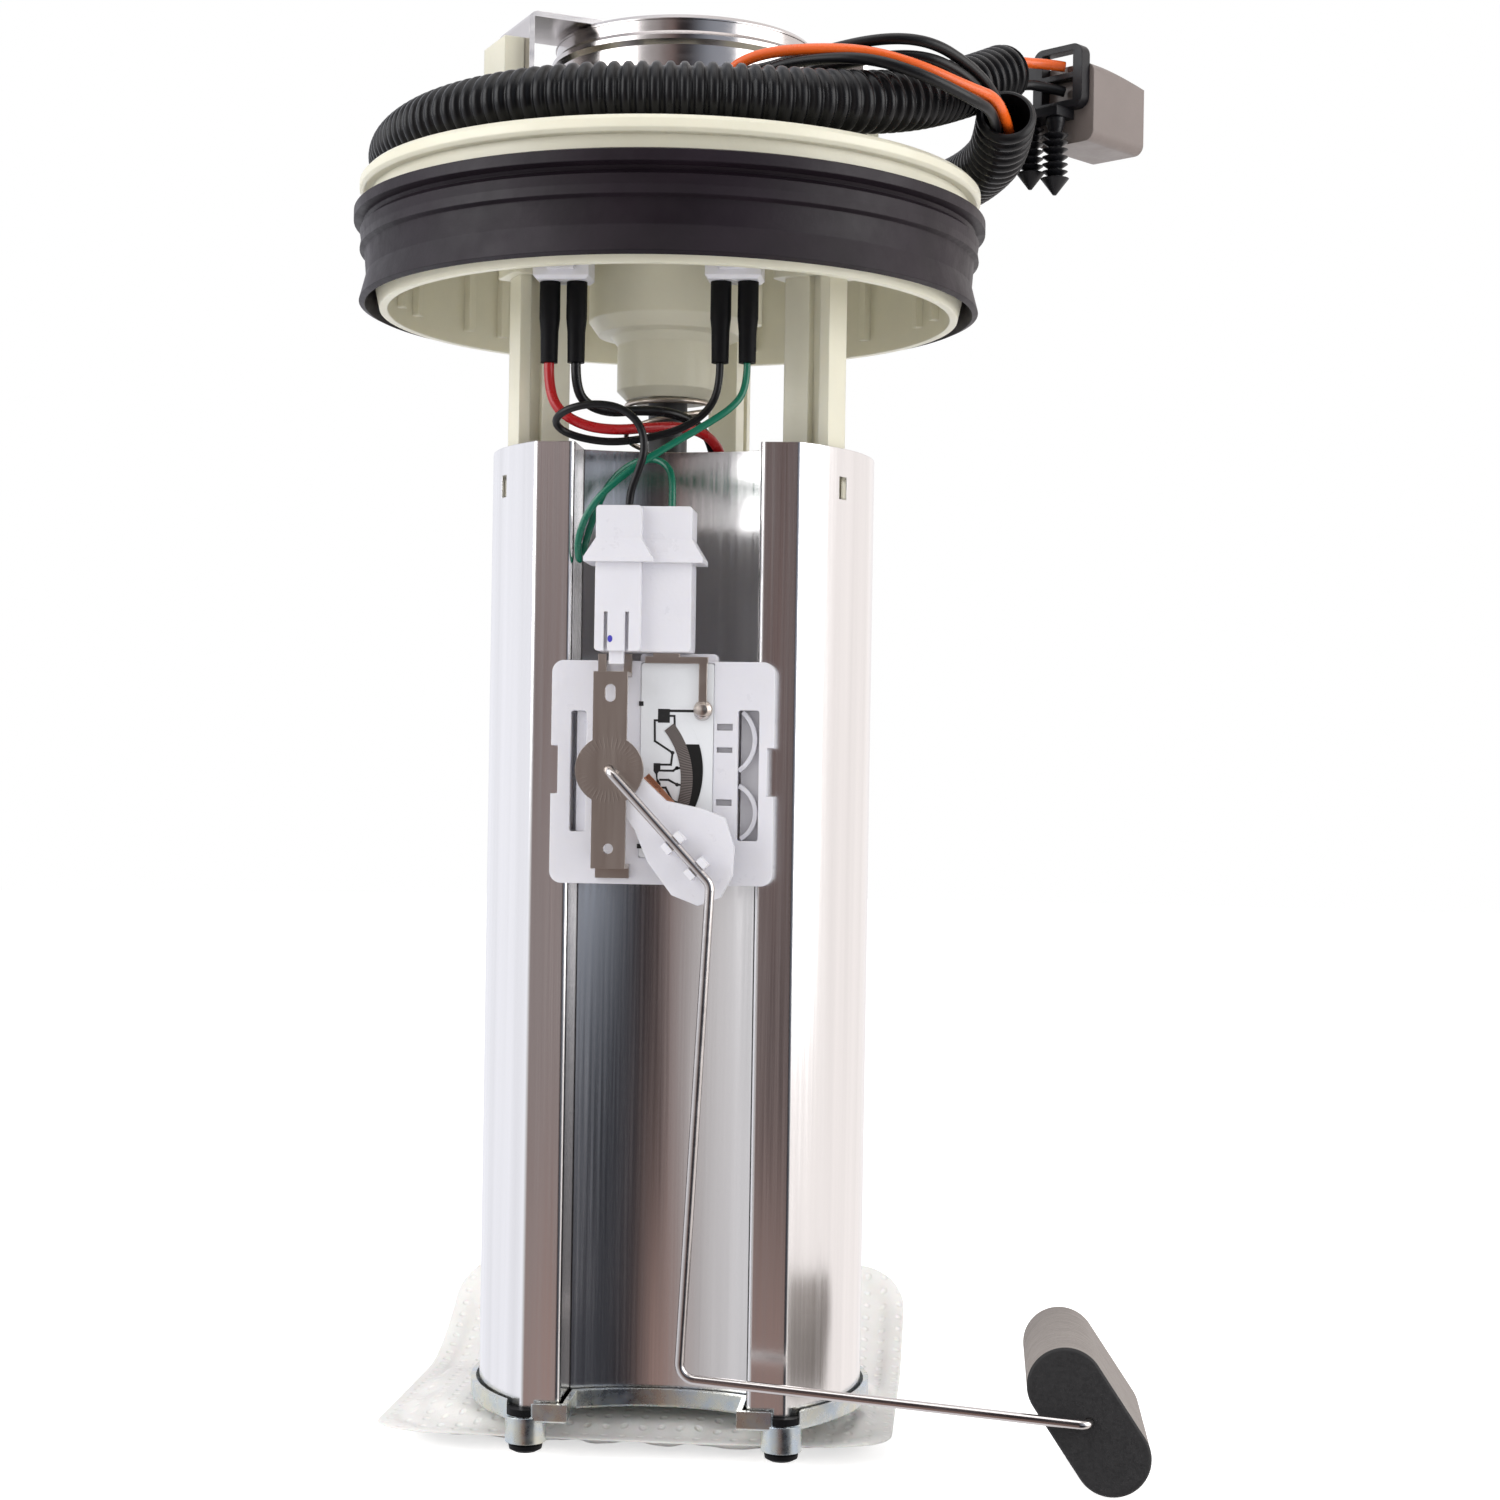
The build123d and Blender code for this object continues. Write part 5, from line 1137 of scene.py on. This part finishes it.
def solder_blob(front):
    """A frozen drop of solder, wider at its foot, on the card's front."""
    made = bmesh.new()
    bmesh.ops.create_uvsphere(made, u_segments=36, v_segments=24, radius=1.0)
    for vertex in made.verts:
        down = (1 - vertex.co.z) / 2
        half = SOLDER_HALF_TOP + (SOLDER_HALF_FOOT - SOLDER_HALF_TOP) * down
        x = SOLDER_TOP[0] + (SOLDER_FOOT[0] - SOLDER_TOP[0]) * down + vertex.co.x * half
        z = SOLDER_TOP[1] + (SOLDER_FOOT[1] - SOLDER_TOP[1]) * down
        vertex.co = mm(x, front + max(-SOLDER_RISE, vertex.co.y * SOLDER_RISE * half / SOLDER_HALF_FOOT), z)
    as_piece(mesh_from(made, "solder_blob"), "solder_blob", "stainless_steel", "reservoir", 60)


class FUELMODULE_OT_sender_details(bpy.types.Operator):
    """Add the sender's solder, ink dot, recess floor, window arcs, and grey sheets of painted shade behind the window
    and in the slots
    """
    bl_idname = "fuelmodule.sender_details"
    bl_label = "Sender details"

    def execute(self, context):
        solder_blob(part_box("resistor_card")[0].y / MM)
        start = mm(INK_DOT[0], INK_DOT_AHEAD, INK_DOT[1])
        plug = bpy.data.objects["sender_plug"]
        hit, spot, _, _ = plug.ray_cast(start, (0, 1, 0), depsgraph=context.evaluated_depsgraph_get())
        if not hit:
            raise RuntimeError("the plug has no face under the ink dot")
        dot = oval(INK_DOT, INK_DOT_R, 24)
        flat_piece("ink_dot", [dot], spot.y / MM - INK_T, spot.y / MM, "resistor_ink", "blue_ink")
        flat_piece("recess_floor", [rectangle(*RECESS_FLOOR)], RECESS_FRONT, RECESS_BACK, "white_acetal")
        # Painted shade: grey sheets behind the window and in the slots
        flat_piece("window_shade_web", [rectangle(*WEB)], WEB_FRONT, WEB_BACK, "white_acetal", "window_shade_web")
        webs = [rectangle(*web) for web in SLOT_WEBS]
        flat_piece("slot_webs", webs, SLOT_FRONT, SLOT_BACK, "white_acetal", "window_shade_web")
        arcs = [ring_sector(*from_pivot([centre]), radius, WEB_ARC_HALF, low, high, 20)
                for centre, radius, low, high in WEB_ARCS]
        flat_piece("window_arcs", arcs, WEB_ARC_FRONT, WEB_FRONT, "white_acetal")
        return {"FINISHED"}


SETTINGS = {"fuel_colours": FinishColours, "fuel_sizes": ModuleSizes, "fuel_stage": StageSettings}
OPERATORS = (
    FUELMODULE_OT_stage, FUELMODULE_OT_finishes, FUELMODULE_OT_conduit, FUELMODULE_OT_harness_leads,
    FUELMODULE_OT_inner_leads, FUELMODULE_OT_spring, FUELMODULE_OT_sock, FUELMODULE_OT_print,
    FUELMODULE_OT_sender_details)
STEPS = (
    bpy.ops.fuelmodule.stage, bpy.ops.fuelmodule.finishes, bpy.ops.fuelmodule.conduit,
    bpy.ops.fuelmodule.harness_leads, bpy.ops.fuelmodule.inner_leads, bpy.ops.fuelmodule.spring,
    bpy.ops.fuelmodule.sock, bpy.ops.fuelmodule.print, bpy.ops.fuelmodule.sender_details)


class FUELMODULE_PT_panel(bpy.types.Panel):
    """The module's steps, colours and sizes"""
    bl_idname = "FUELMODULE_PT_panel"
    bl_label = "Fuel Pump Module"
    bl_space_type = "VIEW_3D"
    bl_region_type = "UI"
    bl_category = "Fuel Module"

    def draw(self, context):
        for operator in OPERATORS:
            self.layout.operator(operator.bl_idname)
        for name, group in SETTINGS.items():
            box = self.layout.box()
            for key in group.__annotations__:
                box.prop(getattr(context.scene, name), key)


CLASSES = (*SETTINGS.values(), *OPERATORS, FUELMODULE_PT_panel)


def register():
    for made in CLASSES:
        bpy.utils.register_class(made)
    for name, group in SETTINGS.items():
        setattr(bpy.types.Scene, name, bpy.props.PointerProperty(type=group))


def unregister():
    for name in SETTINGS:
        delattr(bpy.types.Scene, name)
    for made in reversed(CLASSES):
        bpy.utils.unregister_class(made)


def main():
    register()
    for step in STEPS:
        step()


if __name__ == "__main__":
    main()
